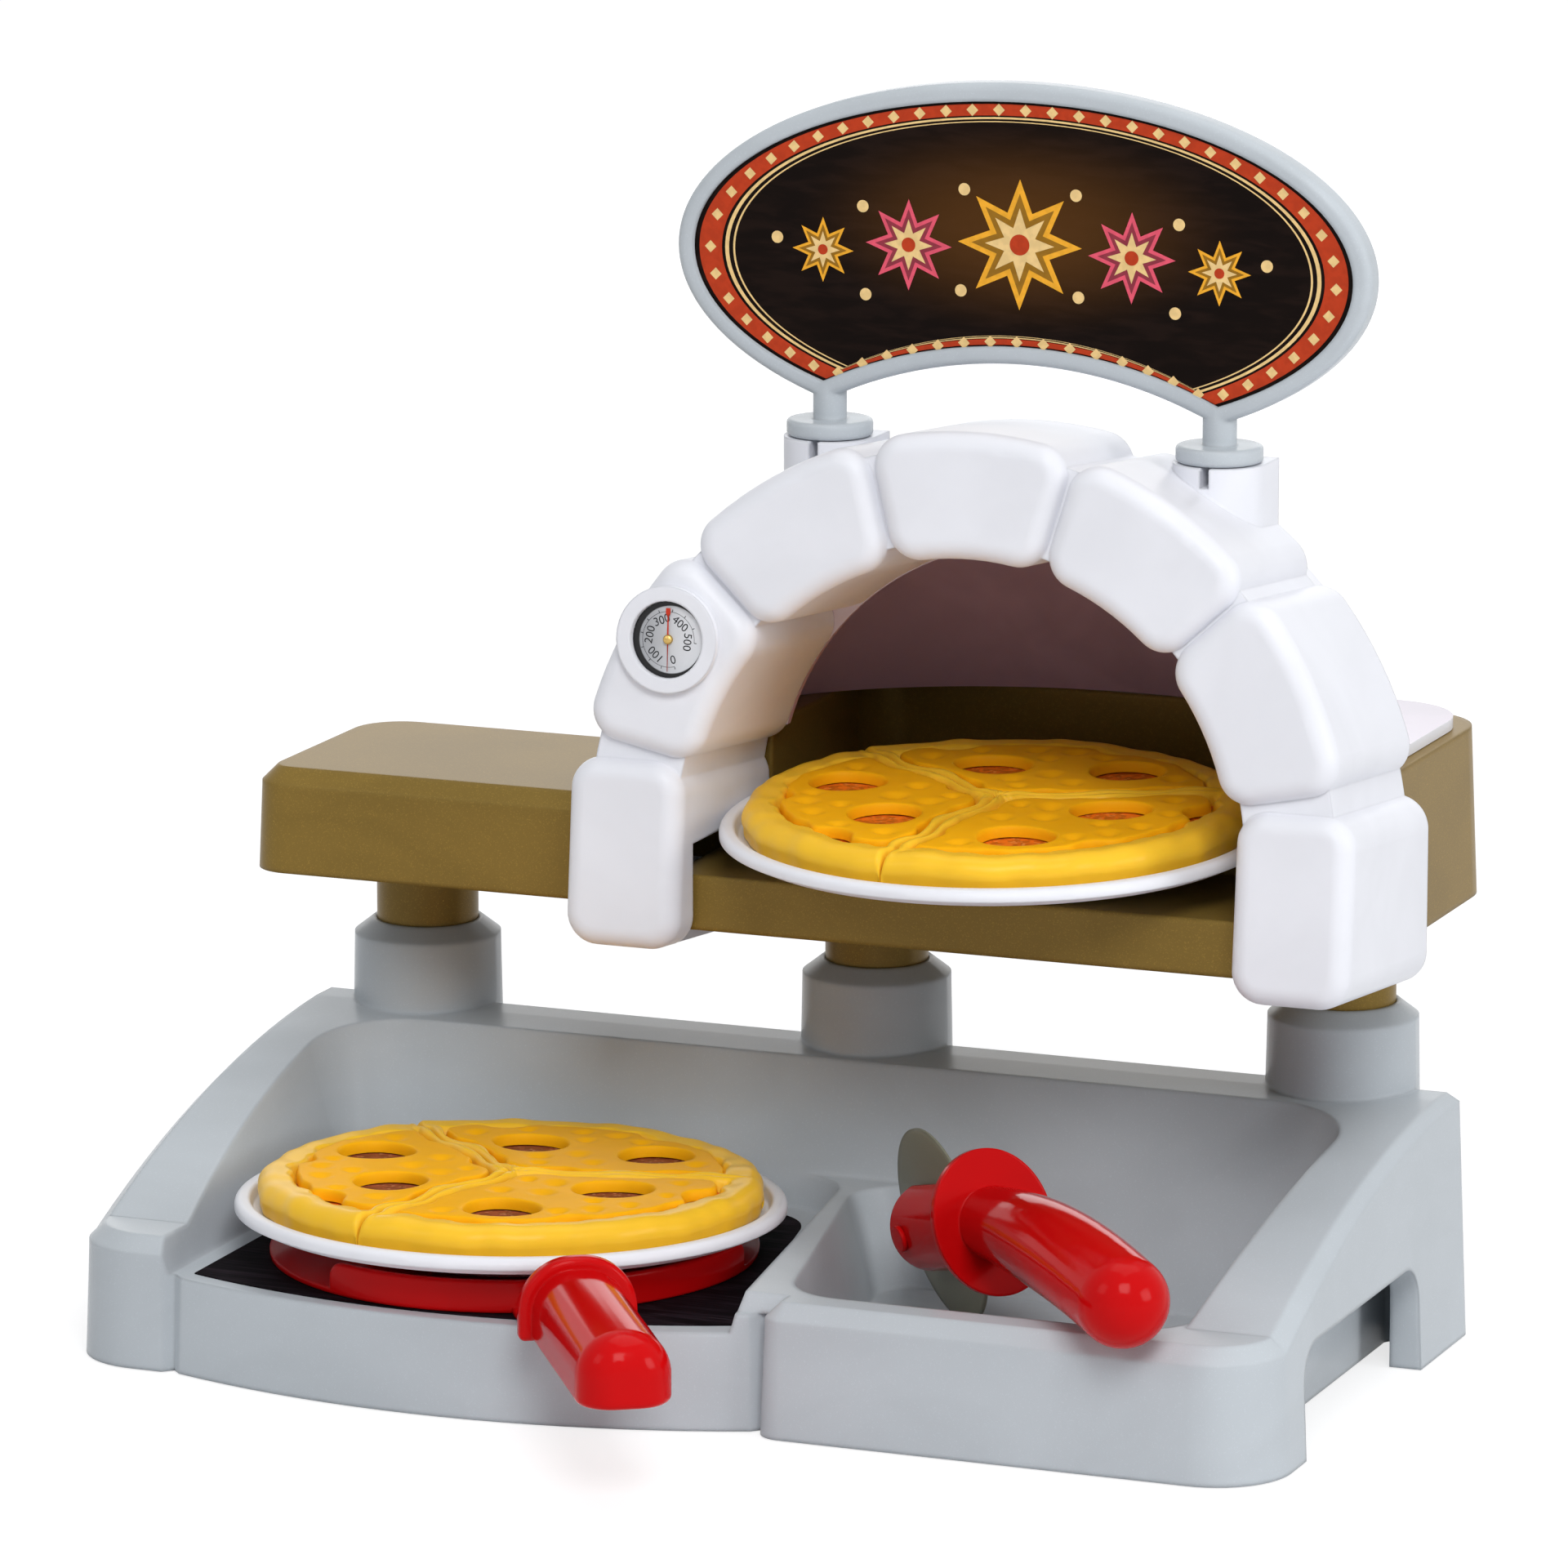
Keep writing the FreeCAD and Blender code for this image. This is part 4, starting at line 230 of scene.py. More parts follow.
class StationFinishes(bpy.types.PropertyGroup):
    """Colours of the mouldings and prints."""
    grey: colour("Grey", (0.50, 0.54, 0.575), "Pearl plastic of the base and the sign")
    bronze: colour("Bronze", (0.215, 0.138, 0.030), "Flake plastic of counter and legs")
    # painted shade: the inside of the hood is drawn in this darker mauve for the shade it lies in
    white: colour("White", (0.80, 0.81, 0.86), "Oven and plates")
    oven_inside: colour("Oven inside", (0.56, 0.38, 0.48), "Shaded inside of the hood")
    red: colour("Red", (0.56, 0.003, 0.004), "Peel and cutter")
    wheel: colour("Wheel", (0.24, 0.24, 0.18), "Cutter wheel")
    dough: colour("Dough", (0.95, 0.56, 0.032), "Crust of the slices")
    cheese: colour("Cheese", (0.97, 0.46, 0.006), "Cheese covers")
    sauce: colour("Sauce", (0.78, 0.16, 0.012), "Print under the cheese")
    salami: colour("Salami", (0.20, 0.045, 0.025), "Printed discs of the served pizza")
    mat: colour("Mat", (0.004, 0.003, 0.004), "Wood print of the worktop")
    panel: colour("Panel", (0.005, 0.0025, 0.0018), "Ground of the sign")
    steel: colour("Steel", (0.55, 0.55, 0.56), "Screws")
    brass: colour("Brass", (0.62, 0.42, 0.14), "Hub of the dial")
    needle: colour("Needle", (0.58, 0.045, 0.02), "Needle of the dial")
    ink: colour("Ink", (0.02, 0.02, 0.022), "Numbers of the dial")
    band: colour("Band", (0.50, 0.045, 0.010), "Border of the sign")
    cream: colour("Cream", (0.86, 0.60, 0.26), "Lines and small shapes of the sign")
    gold: colour("Gold", (0.90, 0.42, 0.03), "Large stars of the sign")
    rose: colour("Rose", (0.80, 0.10, 0.16), "Small stars of the sign")


class PizzaShape(bpy.types.PropertyGroup):
    """Sizes of one slice."""
    radius: length("Radius", 78.3 * MM, "Outside of the crust")
    gap: length("Gap", 0.18 * MM, "Half the width of a cut")
    rim: length("Rim", 12.2 * MM, "Width of the rolled edge")
    height: length("Height", 11.5 * MM, "Height of the rolled edge")
    floor: length("Floor", 6.5 * MM, "Height of the hollow that holds the filling")
    roll: length("Roll", 5.2 * MM, "Rounding of the rolled edge")
    ridge: length("Ridge", 3.7 * MM, "Width of the cord along a cut")
    valley: length("Valley", 0.5 * MM, "Between the cord and the cheese")
    cheese: length("Cheese", 3.4 * MM, "Thickness of the cheese")
    lip: length("Lip", 1.1 * MM, "Rounding of the cheese's edges")
    pit: length("Pit", 1.25 * MM, "Depth of the small pits")
    rows: tally("Rows", 84, "Rows from the middle to the rim")
    columns: tally("Columns", 170, "Columns across a slice")


class StageSetup(bpy.types.PropertyGroup):
    """Camera and light."""
    azimuth: bearing("Azimuth", 21.99, "Camera round the object")
    elevation: bearing("Elevation", 11.99, "Camera above the horizon")
    distance: length("Distance", 2.9575, "Camera to the point it looks at")
    lens: amount("Lens", 215.3, "Focal length in mm")
    sky: amount("Sky", 0.27, "Strength of the white room")
    key: amount("Key", 45.0, "Watts of the large high lamp")
    fill: amount("Fill", 8.0, "Watts of the left lamp")
    side: amount("Side", 20.0, "Watts of the right lamp")
    top: amount("Top", 14.0, "Watts of the lamp above")
    back: amount("Back", 6.0, "Watts of the low lamp behind")


def finishes():
    return bpy.context.scene.station_finishes


def pizza_shape():
    return bpy.context.scene.pizza_shape


# meshes

def new_piece(name, points, faces, material, body, replaced=()):
    """A mesh object at the origin, in metres, that rides on a body and may stand for CAD nodes."""
    mesh = bpy.data.meshes.new(name)
    mesh.from_pydata(np.asarray(points, float).tolist(), [], [list(map(int, f)) for f in faces])
    mesh.polygons.foreach_set("use_smooth", np.full(len(mesh.polygons), True))
    mesh.validate()
    mesh.set_sharp_from_angle(angle=SHARP)
    piece = bpy.data.objects.new(name, mesh)
    bpy.context.scene.collection.objects.link(piece)
    mesh.materials.append(material)
    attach(piece, body)
    if replaced:
        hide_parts(*replaced)
    return piece


def grid_faces(rows, columns, start=0, wrap=False):
    """Quads of a rows x columns grid of points; wrap joins the last column to the first."""
    last = columns if wrap else columns - 1
    i, j = np.meshgrid(np.arange(rows - 1), np.arange(last), indexing="ij")
    right = (j + 1) % columns
    row, below = i * columns, (i + 1) * columns
    quads = np.stack([row + j, row + right, below + right, below + j], -1)
    return quads.reshape(-1, 4) + start


def turned(points, axis, angle):
    """Points turned about X or Z."""
    c, s = math.cos(angle), math.sin(angle)
    turn = {"X": ((1, 0, 0), (0, c, -s), (0, s, c)), "Z": ((c, -s, 0), (s, c, 0), (0, 0, 1))}[axis]
    return points @ np.array(turn).T


def on_plate(points, pizza, index, lift):
    """Slice coordinates in mm, x along the slice's middle, to metres on its leaning plate."""
    place = PIZZAS[pizza]
    middle = math.radians(place["turn"]) + HALF_SLICE * (2 * index + 1)
    raised = points + np.array([0.0, 0.0, lift])
    laid = turned(turned(raised, "Z", middle), "X", math.radians(place["lean"]))
    return (laid + np.array(place["centre"])) * MM


def waves(t, terms):
    """Sum of sines: (size, turns, phase) for each."""
    total = np.zeros_like(t)
    for size, turns, phase in terms:
        total = total + size * np.sin(turns * t + phase)
    return total


def smooth_step(x, low, high):
    t = np.clip((x - low) / (high - low), 0.0, 1.0)
    return t * t * (3.0 - 2.0 * t)


def wandered(points):
    """The cuts wander: every point turns about the pizza's middle by an amount set by its radius,
    a slow wave along the cut and a jog in the rim, so that neighbouring slices still match."""
    radius = np.hypot(points[:, 0], points[:, 1])
    aside = WANDER * np.sin(radius / WANDER_LENGTH + 0.6) * smooth_step(radius, *WANDER_START)
    jog = JOG * np.exp(-((radius - JOG_RADIUS) / JOG_WIDTH) ** 2)
    aside = aside * (1.0 - smooth_step(radius, *WANDER_END)) + jog
    angle = aside / np.maximum(radius, 6.0)
    c, s = np.cos(angle), np.sin(angle)
    x = points[:, 0] * c - points[:, 1] * s
    y = points[:, 0] * s + points[:, 1] * c
    return np.column_stack([x, y, points[:, 2]])


def edge_fall(distance, width):
    """Quarter circle: how far a rounded edge lies below its top, at a distance from the edge."""
    t = np.clip(1.0 - distance / width, 0.0, 1.0)
    return width * (1.0 - np.sqrt(1.0 - t * t))


def dough_height(radius, angle, from_cut, shape):
    """Height of the dough: floor, then the larger of a wavy rim and a cord along each cut,
    both with quarter-circle shoulders, plus low lumps."""
    floor, top = shape.floor / MM, shape.height / MM
    inner = (shape.radius - shape.rim) / MM + waves(angle, RIM_WAVES)
    rim_top = top - 0.5 + waves(angle, RIM_TOP_WAVES)
    rim = rim_top - 0.5 * smooth_step(radius, inner + 8.0, inner + 1.0)
    rim = rim - edge_fall(radius - inner, SHOULDER) * SHOULDER_STEEP
    cord_top = top - 0.2 + 0.4 * np.sin(radius / 4.6 + 0.8)
    width = shape.ridge / MM + 0.55 * np.sin(radius / 5.5 + 1.7) + 0.3 * np.sin(radius / 2.3)
    cord = cord_top - edge_fall(width - from_cut, SHOULDER) * SHOULDER_STEEP
    cord = np.where(from_cut > width, floor, cord)
    rim = np.where(radius < inner, floor, rim)
    lumps = 0.16 * np.sin(radius / 3.1 + 5.0 * angle) * np.sin(11.0 * angle + 0.7)
    height = np.maximum(np.maximum(cord, rim), floor) + lumps
    return height - edge_fall(from_cut, CUT_ROUND) * CUT_STEEP


def dough_slice(shape):
    """Closed surface of one crust. Each column is a ray at an angle from the slice's tip: over the
    top by dough_height, round the outside on an arc, down to the plate and back under to the tip.
    The two end columns lie in the cuts, each closed by a ladder of faces from top to plate."""
    t = np.linspace(-1.0, 1.0, shape.columns)
    angle = HALF_SLICE * (1.25 * t - 0.25 * t ** 3)
    tip = shape.gap / MM / math.sin(HALF_SLICE)
    outer = shape.radius / MM + waves(angle, OUTSIDE_WAVES) - 0.6
    reach = -tip * np.cos(angle) + np.sqrt(outer ** 2 - (tip * np.sin(angle)) ** 2)
    roll = shape.roll / MM
    part = np.linspace(0.0, 1.0, shape.rows)[:, None]
    along = part * (reach - roll)[None, :]
    from_cut = along * np.sin(HALF_SLICE - np.abs(angle))[None, :]
    bent = np.broadcast_to(angle, along.shape)
    top = dough_height(along, bent, from_cut, shape)
    shoulder = top[-1]
    bends = np.linspace(*ROLL_BENDS, ROLL_STEPS)[:, None]
    round_along = (reach - roll) + roll * np.cos(bends)
    round_top = (shoulder - roll) + roll * np.sin(bends)
    foot = np.array([height for height, _ in FOOT])[:, None]
    foot_along = np.stack([round_along[-1] - inside for _, inside in FOOT])
    under = along[::-1]
    reaches = np.concatenate([along, round_along, foot_along, under])
    heights = np.concatenate([
        top, round_top, np.broadcast_to(foot, foot_along.shape), np.zeros_like(under)])
    x = tip + reaches * np.cos(angle)
    y = reaches * np.sin(angle)
    rows, columns = reaches.shape
    points = wandered(np.column_stack([x.ravel(), y.ravel(), heights.ravel()]))
    faces = [tuple(f[::-1]) for f in grid_faces(rows, columns)]
    last = shape.rows - 1
    for column, way in ((0, 1), (columns - 1, -1)):
        line = [i * columns + column for i in range(rows)]
        back = line[::-1]
        walls = [(line[i], line[i + 1], back[i + 1], back[i]) for i in range(last)]
        walls.append(tuple(line[last:rows - last]))
        faces.extend(wall[::way] for wall in walls)
    return points, faces


def soft_least(a, b, blend):
    """Smooth minimum: the lesser of two distances with a rounded corner of that size."""
    h = np.clip(0.5 + 0.5 * (b - a) / blend, 0.0, 1.0)
    return b + (a - b) * h - blend * h * (1.0 - h)


def inside_cheese(x, y, shape):
    """Distance from the edge of the cheese, positive inside: two wavy cuts, a wavy arc and bays."""
    radius = np.hypot(x, y)
    angle = np.arctan2(y, x)
    inset = (shape.gap + shape.ridge + shape.valley) / MM
    ripple = 0.5 * np.sin(radius / 3.7) + 0.35 * np.sin(radius / 1.9 + 1.0)
    along_cut = x * math.sin(HALF_SLICE)
    right = along_cut - y * math.cos(HALF_SLICE) - inset + ripple
    left = along_cut + y * math.cos(HALF_SLICE) - inset - ripple
    rim = (shape.radius - shape.rim) / MM - 0.4 - radius + waves(angle, CHEESE_WAVES)
    rim = rim + 0.9 * np.exp(-((angle + 0.48) / 0.3) ** 2)
    depth = soft_least(soft_least(right, left, 5.0), rim, 4.0)
    for along, aside, bay in BAYS:
        depth = soft_least(depth, np.hypot(x - along, y - aside) - bay, 3.0)
    return depth


def from_hole(x, y, hole):
    """Distance outside a hole whose edge is a slightly wavy circle."""
    along, aside, radius = hole
    angle = np.arctan2(y - aside, x - along)
    return np.hypot(x - along, y - aside) - radius - HOLE_WAVE * np.sin(HOLE_TURNS * angle + along)


def cheese_ring(depth, angles, shape):
    """Line at a depth inside the cheese's edge, found by halving along rays from its middle."""
    c, s = np.cos(angles), np.sin(angles)
    low = np.zeros_like(angles)
    high = np.full_like(angles, CHEESE_REACH)
    for _ in range(HALVINGS):
        mid = 0.5 * (low + high)
        within = inside_cheese(CHEESE_MIDDLE + mid * c, mid * s, shape) > depth
        low = np.where(within, mid, low)
        high = np.where(within, high, mid)
    return np.column_stack([CHEESE_MIDDLE + low * c, low * s])


def hole_ring(depth, angles, hole):
    """Line at a depth outside a hole's edge."""
    along, aside, radius = hole
    reach = radius + HOLE_WAVE * np.sin(HOLE_TURNS * angles + along) + depth
    return np.column_stack([along + reach * np.cos(angles), aside + reach * np.sin(angles)])


def filled(loops, loose, keep):
    """Triangles that fill closed loops of points and take in loose points, where keep says so."""
    points = np.concatenate(loops + [loose]) if len(loose) else np.concatenate(loops)
    edges = []
    start = 0
    for loop in loops:
        ids = np.arange(len(loop)) + start
        edges += list(zip(ids.tolist(), np.roll(ids, -1).tolist()))
        start += len(loop)
    flat = [Vector(p) for p in points.tolist()]
    found = delaunay_2d_cdt(flat, edges, [], 0, 1e-7)
    source = np.array([ids[0] for ids in found[3]])
    faces = source[np.array(found[2])]
    centre = points[faces].mean(axis=1)
    return faces[keep(centre[:, 0], centre[:, 1])]


def cheese_slice(shape):
    """Closed surface of one cheese cover. From each edge a quarter-ellipse lip is carried round the
    outline and round both holes; the flat inside takes low waves and round pits, depth times
    (1 - r^2)^2 with a small raised rim; a flat underside closes it on the same edge points."""
    thickness, lip = shape.cheese / MM, shape.lip / MM
    steps = np.linspace(0.0, 0.5 * math.pi, LIP_STEPS)
    depths = lip * (1.0 - np.cos(steps))
    heights = thickness * np.sin(steps)
    outline_angles = np.linspace(0.0, WHOLE_TURN, OUTLINE_POINTS, endpoint=False)
    hole_angles = np.linspace(0.0, WHOLE_TURN, HOLE_POINTS, endpoint=False)
    families = [[cheese_ring(d, outline_angles, shape) for d in depths]]
    families += [[hole_ring(d, hole_angles, hole) for d in depths] for hole in HOLES]

    across = np.arange(*FIELD_X, SPACING)
    rows = np.arange(*FIELD_Y, SPACING * ROW_RATIO)
    xs, ys = np.meshgrid(across, rows, indexing="xy")
    xs = xs + 0.5 * SPACING * (np.arange(len(ys))[:, None] % 2)
    xs, ys = xs.ravel(), ys.ravel()

    def within(x, y, margin):
        clear = inside_cheese(x, y, shape) > margin
        for hole in HOLES:
            clear &= from_hole(x, y, hole) > margin
        return clear

    inner = within(xs, ys, lip + 0.6)
    loose = np.column_stack([xs[inner], ys[inner]])
    points, faces, inner_ids, edge_ids = [], [], [], []
    start = 0
    for rings in families:
        size = len(rings[0])
        for ring, height in zip(rings, heights):
            points.append(np.column_stack([ring, np.full(size, height)]))
        faces.append(grid_faces(len(rings), size, start, wrap=True))
        edge_ids.append(np.arange(size) + start)
        inner_ids.append(np.arange(size) + start + size * (len(rings) - 1))
        start += size * len(rings)
    points.append(np.column_stack([loose, np.full(len(loose), thickness)]))
    inner_ids.append(np.arange(len(loose)) + start)
    points = np.concatenate(points)

    x, y = points[:, 0], points[:, 1]
    inset = inside_cheese(x, y, shape)
    for hole in HOLES:
        inset = np.minimum(inset, from_hole(x, y, hole))
    soft = smooth_step(inset, 0.0, lip + 3.0)
    relief = 0.16 * np.sin(x / 7.1 + 0.5) * np.sin(y / 6.3 + 1.3) + 0.06 * np.sin(x / 4.2 - y / 5.1)
    for along, aside, radius in PITS:
        r = np.hypot(x - along, y - aside) / radius
        bowl = shape.pit / MM * np.clip(1.0 - r * r, 0.0, 1.0) ** 2
        relief = relief - bowl + 0.08 * np.exp(-((r - 1.15) / 0.3) ** 2)
    points[:, 2] += relief * soft

    top = filled([rings[-1] for rings in families], loose, lambda a, b: within(a, b, lip))
    under = filled([rings[0] for rings in families], [], lambda a, b: within(a, b, 0.0))
    top_ids = np.concatenate(inner_ids)
    under_ids = np.concatenate(edge_ids)
    strips = [faces[0]] + [f[:, ::-1] for f in faces[1:]]
    every = [tuple(f) for group in strips for f in group]
    every += [tuple(f) for f in facing(points, top_ids[top], 1.0)]
    every += [tuple(f) for f in facing(points, under_ids[under], -1.0)]
    return wandered(points), every


def facing(points, triangles, way):
    """Triangles ordered so that each faces up (way 1) or down (way -1)."""
    a, b, c = (points[triangles[:, i]] for i in range(3))
    area = (b[:, 0] - a[:, 0]) * (c[:, 1] - a[:, 1]) - (b[:, 1] - a[:, 1]) * (c[:, 0] - a[:, 0])
    return np.where((area * way > 0)[:, None], triangles, triangles[:, ::-1])


def filling_slice(shape):
    """Card of one slice on a polar grid: a flat wedge with a low disc under each hole, a step of
    0.35 mm times 1 - (r/R)^8 with fine bumps; a flat underside closes it."""
    inset = (shape.gap + shape.ridge) / MM
    tip = inset / math.sin(HALF_SLICE)
    rows, columns = CARD_ROWS, CARD_COLUMNS
    angle = np.linspace(-HALF_SLICE, HALF_SLICE, columns)
    reach = -tip * np.cos(angle) + np.sqrt(CARD_REACH ** 2 - (tip * np.sin(angle)) ** 2)
    along = np.linspace(0.0, 1.0, rows)[:, None] * reach[None, :]
    x = (tip + along * np.cos(angle)).ravel()
    y = (along * np.sin(angle)).ravel()
    top = np.full(x.shape, CARD_TOP)
    for hole_x, hole_y, radius in HOLES:
        r = np.hypot(x - hole_x, y - hole_y) / (radius + DISC_PAST)
        disc = np.clip(1.0 - r ** 8, 0.0, 1.0)
        top = top + disc * (0.35 + 0.07 * np.sin(2.4 * x + 0.4) * np.sin(2.2 * y))
    upper = np.column_stack([x, y, top])
    lower = np.column_stack([x, y, np.zeros_like(x)])
    points = np.concatenate([upper, lower])
    faces = [tuple(f[::-1]) for f in grid_faces(rows, columns)]
    faces += [tuple(f) for f in grid_faces(rows, columns, rows * columns)]
    edge = [i * columns for i in range(rows)]
    edge += [(rows - 1) * columns + j for j in range(1, columns)]
    edge += [i * columns + columns - 1 for i in range(rows - 2, 0, -1)]
    shift = rows * columns
    for a, b in zip(edge, edge[1:] + edge[:1]):
        faces.append((b, a, a + shift, b + shift))
    return points, faces


class InkSheet:
    """Flat printed shapes gathered into one mesh: places on a plane in mm, height over it, ink."""

    def __init__(self):
        self.points = []
        self.faces = []
        self.inks = []

    def add(self, flat, faces, height, ink):
        start = len(self.points)
        self.points += [(float(u), float(v), height) for u, v in flat]
        self.faces += [tuple(int(i) + start for i in face) for face in faces]
        self.inks += [(*ink, 1.0)] * len(flat)

    def fan(self, outline, height, ink):
        """Shape seen whole from its middle: triangles from the mean point to each side."""
        middle = outline.mean(axis=0)
        count = len(outline)
        faces = [(i, (i + 1) % count, count) for i in range(count)]
        self.add(np.vstack([outline, middle]), faces, height, ink)

    def band(self, outer, inner, height, ink):
        """Strip between two outlines with as many points."""
        count = len(outer)
        quads = [(i, (i + 1) % count, count + (i + 1) % count, count + i) for i in range(count)]
        self.add(np.vstack([outer, inner]), quads, height, ink)

    def lay(self, name, centre, right, up, front, material, body):
        """One piece on the plane through centre, in mm, spanned by right and up."""
        flat = np.array(self.points)
        placed = np.array(centre) + flat @ np.array([right, up, front])
        piece = new_piece(name, placed * MM, self.faces, material, body)
        layer = piece.data.color_attributes.new("ink", "FLOAT_COLOR", "POINT")
        layer.data.foreach_set("color", np.array(self.inks, dtype=np.float32).ravel())


def ring_of(radius, count, start=0.0, turn=WHOLE_TURN):
    """Points at a radius: (r cos a, r sin a)."""
    angle = start + turn * np.arange(count) / count
    return np.column_stack([radius * np.cos(angle), radius * np.sin(angle)])


def star(outer, inner, tips):
    """Star outline: radius alternates between tip and notch every half step."""
    angle = math.pi / tips * np.arange(2 * tips) + 0.5 * math.pi
    radius = np.where(np.arange(2 * tips) % 2 == 0, outer, inner)
    return np.column_stack([radius * np.cos(angle), radius * np.sin(angle)])


def numeral(words, height):
    """Flat triangles of a number in the built-in face, its middle at the origin, in mm."""
    curve = bpy.data.curves.new("numeral", "FONT")
    curve.body = words
    curve.size = height
    holder = bpy.data.objects.new("numeral", curve)
    mesh = bpy.data.meshes.new_from_object(holder)
    flat = np.array([v.co[:2] for v in mesh.vertices])
    faces = [tuple(p.vertices) for p in mesh.polygons]
    bpy.data.objects.remove(holder)
    bpy.data.meshes.remove(mesh)
    bpy.data.curves.remove(curve)
    return flat - 0.5 * (flat.min(axis=0) + flat.max(axis=0)), faces


def along_ray(angle):
    """Unit vectors away from the middle and across, for an angle in degrees from +X."""
    c, s = math.cos(math.radians(angle)), math.sin(math.radians(angle))
    return np.array([c, s]), np.array([-s, c])


def middle_of(node):
    """Middle of a CAD node's box, in metres."""
    return tuple(0.5 * (a + b) for a, b in zip(*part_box(node)))


# materials

def new_finish(name, roughness, **sockets):
    """A Principled material; further sockets are given by name with _ for a space."""
    material = bpy.data.materials.new(name)
    material.use_nodes = True
    shader = material.node_tree.nodes["Principled BSDF"]
    shader.inputs["Roughness"].default_value = roughness
    for socket, value in sockets.items():
        shader.inputs[socket.replace("_", " ")].default_value = value
    return material, material.node_tree, shader


def add_node(tree, kind, inputs=None, **settings):
    """A node with its settings; an input that is a socket is linked, any other is set."""
    node = tree.nodes.new(kind)
    for name, value in settings.items():
        setattr(node, name, value)
    for name, value in (inputs or {}).items():
        if isinstance(value, bpy.types.NodeSocket):
            tree.links.new(value, node.inputs[name])
        else:
            node.inputs[name].default_value = value
    return node


def vectors(tree, operation, *places):
    """Outputs of a vector operation: 0 is a vector, Value a number."""
    inputs = dict(enumerate(places))
    return add_node(tree, "ShaderNodeVectorMath", inputs, operation=operation).outputs


def place_of(tree, scale=(1.0, 1.0, 1.0), centre=(0.0, 0.0, 0.0)):
    """Object coordinates, taken from a centre and stretched."""
    where = add_node(tree, "ShaderNodeTexCoord").outputs["Object"]
    moved = vectors(tree, "SUBTRACT", where, centre)[0]
    return vectors(tree, "MULTIPLY", moved, scale)[0]


def cells_of(tree, where, scale):
    return add_node(tree, "ShaderNodeTexVoronoi", {"Vector": where, "Scale": scale}).outputs


def channel(tree, tone, index):
    """Red, green or blue of a colour."""
    return add_node(tree, "ShaderNodeSeparateColor", {0: tone}).outputs[index]


def noise(tree, where, scale, detail, distortion=0.0):
    return add_node(tree, "ShaderNodeTexNoise", {
        "Vector": where, "Scale": scale, "Detail": detail, "Distortion": distortion}).outputs["Fac"]


def ramp(tree, value, low, high, bottom=0.0, top=1.0):
    """Value stretched from low..high to bottom..top, smoothly."""
    return add_node(tree, "ShaderNodeMapRange", {
        "Value": value, "From Min": low, "From Max": high, "To Min": bottom, "To Max": top,
    }, interpolation_type="SMOOTHSTEP").outputs["Result"]


def mixed(tree, factor, first, second):
    """Colour between two, each a socket or three numbers."""
    node = add_node(tree, "ShaderNodeMix", {"Factor": factor}, data_type="RGBA")
    for index, value in ((6, first), (7, second)):
        if isinstance(value, bpy.types.NodeSocket):
            tree.links.new(value, node.inputs[index])
        else:
            node.inputs[index].default_value = (*value, 1.0)
    return node.outputs[2]


def clouded(tree, cloud, tint, dark, light, low=0.3, high=0.7):
    """Tint that a cloud darkens and lightens by two factors."""
    return mixed(tree, ramp(tree, cloud, low, high), scaled(tint, dark), scaled(tint, light))


def paint(tree, shader, tone):
    tree.links.new(tone, shader.inputs["Base Color"])


def math_of(tree, operation, a, b=0.0):
    return add_node(tree, "ShaderNodeMath", {0: a, 1: b}, operation=operation).outputs[0]


def bump(tree, shader, height, strength, distance, edge=0.0):
    """Relief on the shader's normal; edge softens sharp corners over that radius."""
    made = add_node(tree, "ShaderNodeBump", {
        "Height": height, "Strength": strength, "Distance": distance})
    if edge:
        soft = add_node(tree, "ShaderNodeBevel", {"Radius": edge}, samples=6)
        tree.links.new(soft.outputs["Normal"], made.inputs["Normal"])
    tree.links.new(made.outputs["Normal"], shader.inputs["Normal"])


def scaled(value, factor):
    return tuple(min(1.0, v * factor) for v in value)


def pearl_finish(name, tint, gloss=0.27):
    """Grey plastic: faint slow flow marks in tone, very fine flakes and a soft gloss."""
    material, tree, shader = new_finish(name, gloss, Specular_IOR_Level=0.12)
    flow = noise(tree, place_of(tree, (1.0, 1.0, 1.6)), 13.0, 3.0, 1.2)
    tone = clouded(tree, flow, tint, 0.96, 1.03)
    glint = channel(tree, cells_of(tree, place_of(tree), 3200.0)["Color"], 0)
    flakes = math_of(tree, "MULTIPLY", ramp(tree, glint, 0.9, 1.0), 0.10)
    tone = mixed(tree, flakes, tone, scaled(tint, 1.7))
    paint(tree, shader, tone)
    bump(tree, shader, noise(tree, place_of(tree), 60.0, 2.0), 0.02, 0.0005, SOFT_EDGE)
    return material


def bronze_finish(name, tint):
    """Metal-flake plastic: olive gold with fine flakes, faint clouds and a few sparks as painted
    glints.
    """
    material, tree, shader = new_finish(name, 0.36, Metallic=0.12, Specular_IOR_Level=0.12)
    cloud = noise(tree, place_of(tree, (1.0, 1.0, 2.2)), 14.0, 3.0, 1.0)
    tone = clouded(tree, cloud, tint, 0.93, 1.07)
    glint = channel(tree, cells_of(tree, place_of(tree), 3400.0)["Color"], 0)
    flakes = math_of(tree, "MULTIPLY", ramp(tree, glint, 0.82, 1.0), 0.22)
    tone = mixed(tree, flakes, tone, scaled(tint, 2.4))
    # painted glints: a few larger flakes drawn much brighter, as if catching the light
    large = cells_of(tree, place_of(tree), 520.0)
    spark = channel(tree, large["Color"], 1)
    near = ramp(tree, large["Distance"], 0.13, 0.07)
    painted_glints = math_of(tree, "MULTIPLY", near, ramp(tree, spark, 0.97, 0.98))
    tone = mixed(tree, math_of(tree, "MULTIPLY", painted_glints, 0.6), tone, scaled(tint, 3.6))
    paint(tree, shader, tone)
    bump(tree, shader, noise(tree, place_of(tree), 70.0, 2.0), 0.02, 0.0005, SOFT_EDGE)
    return material


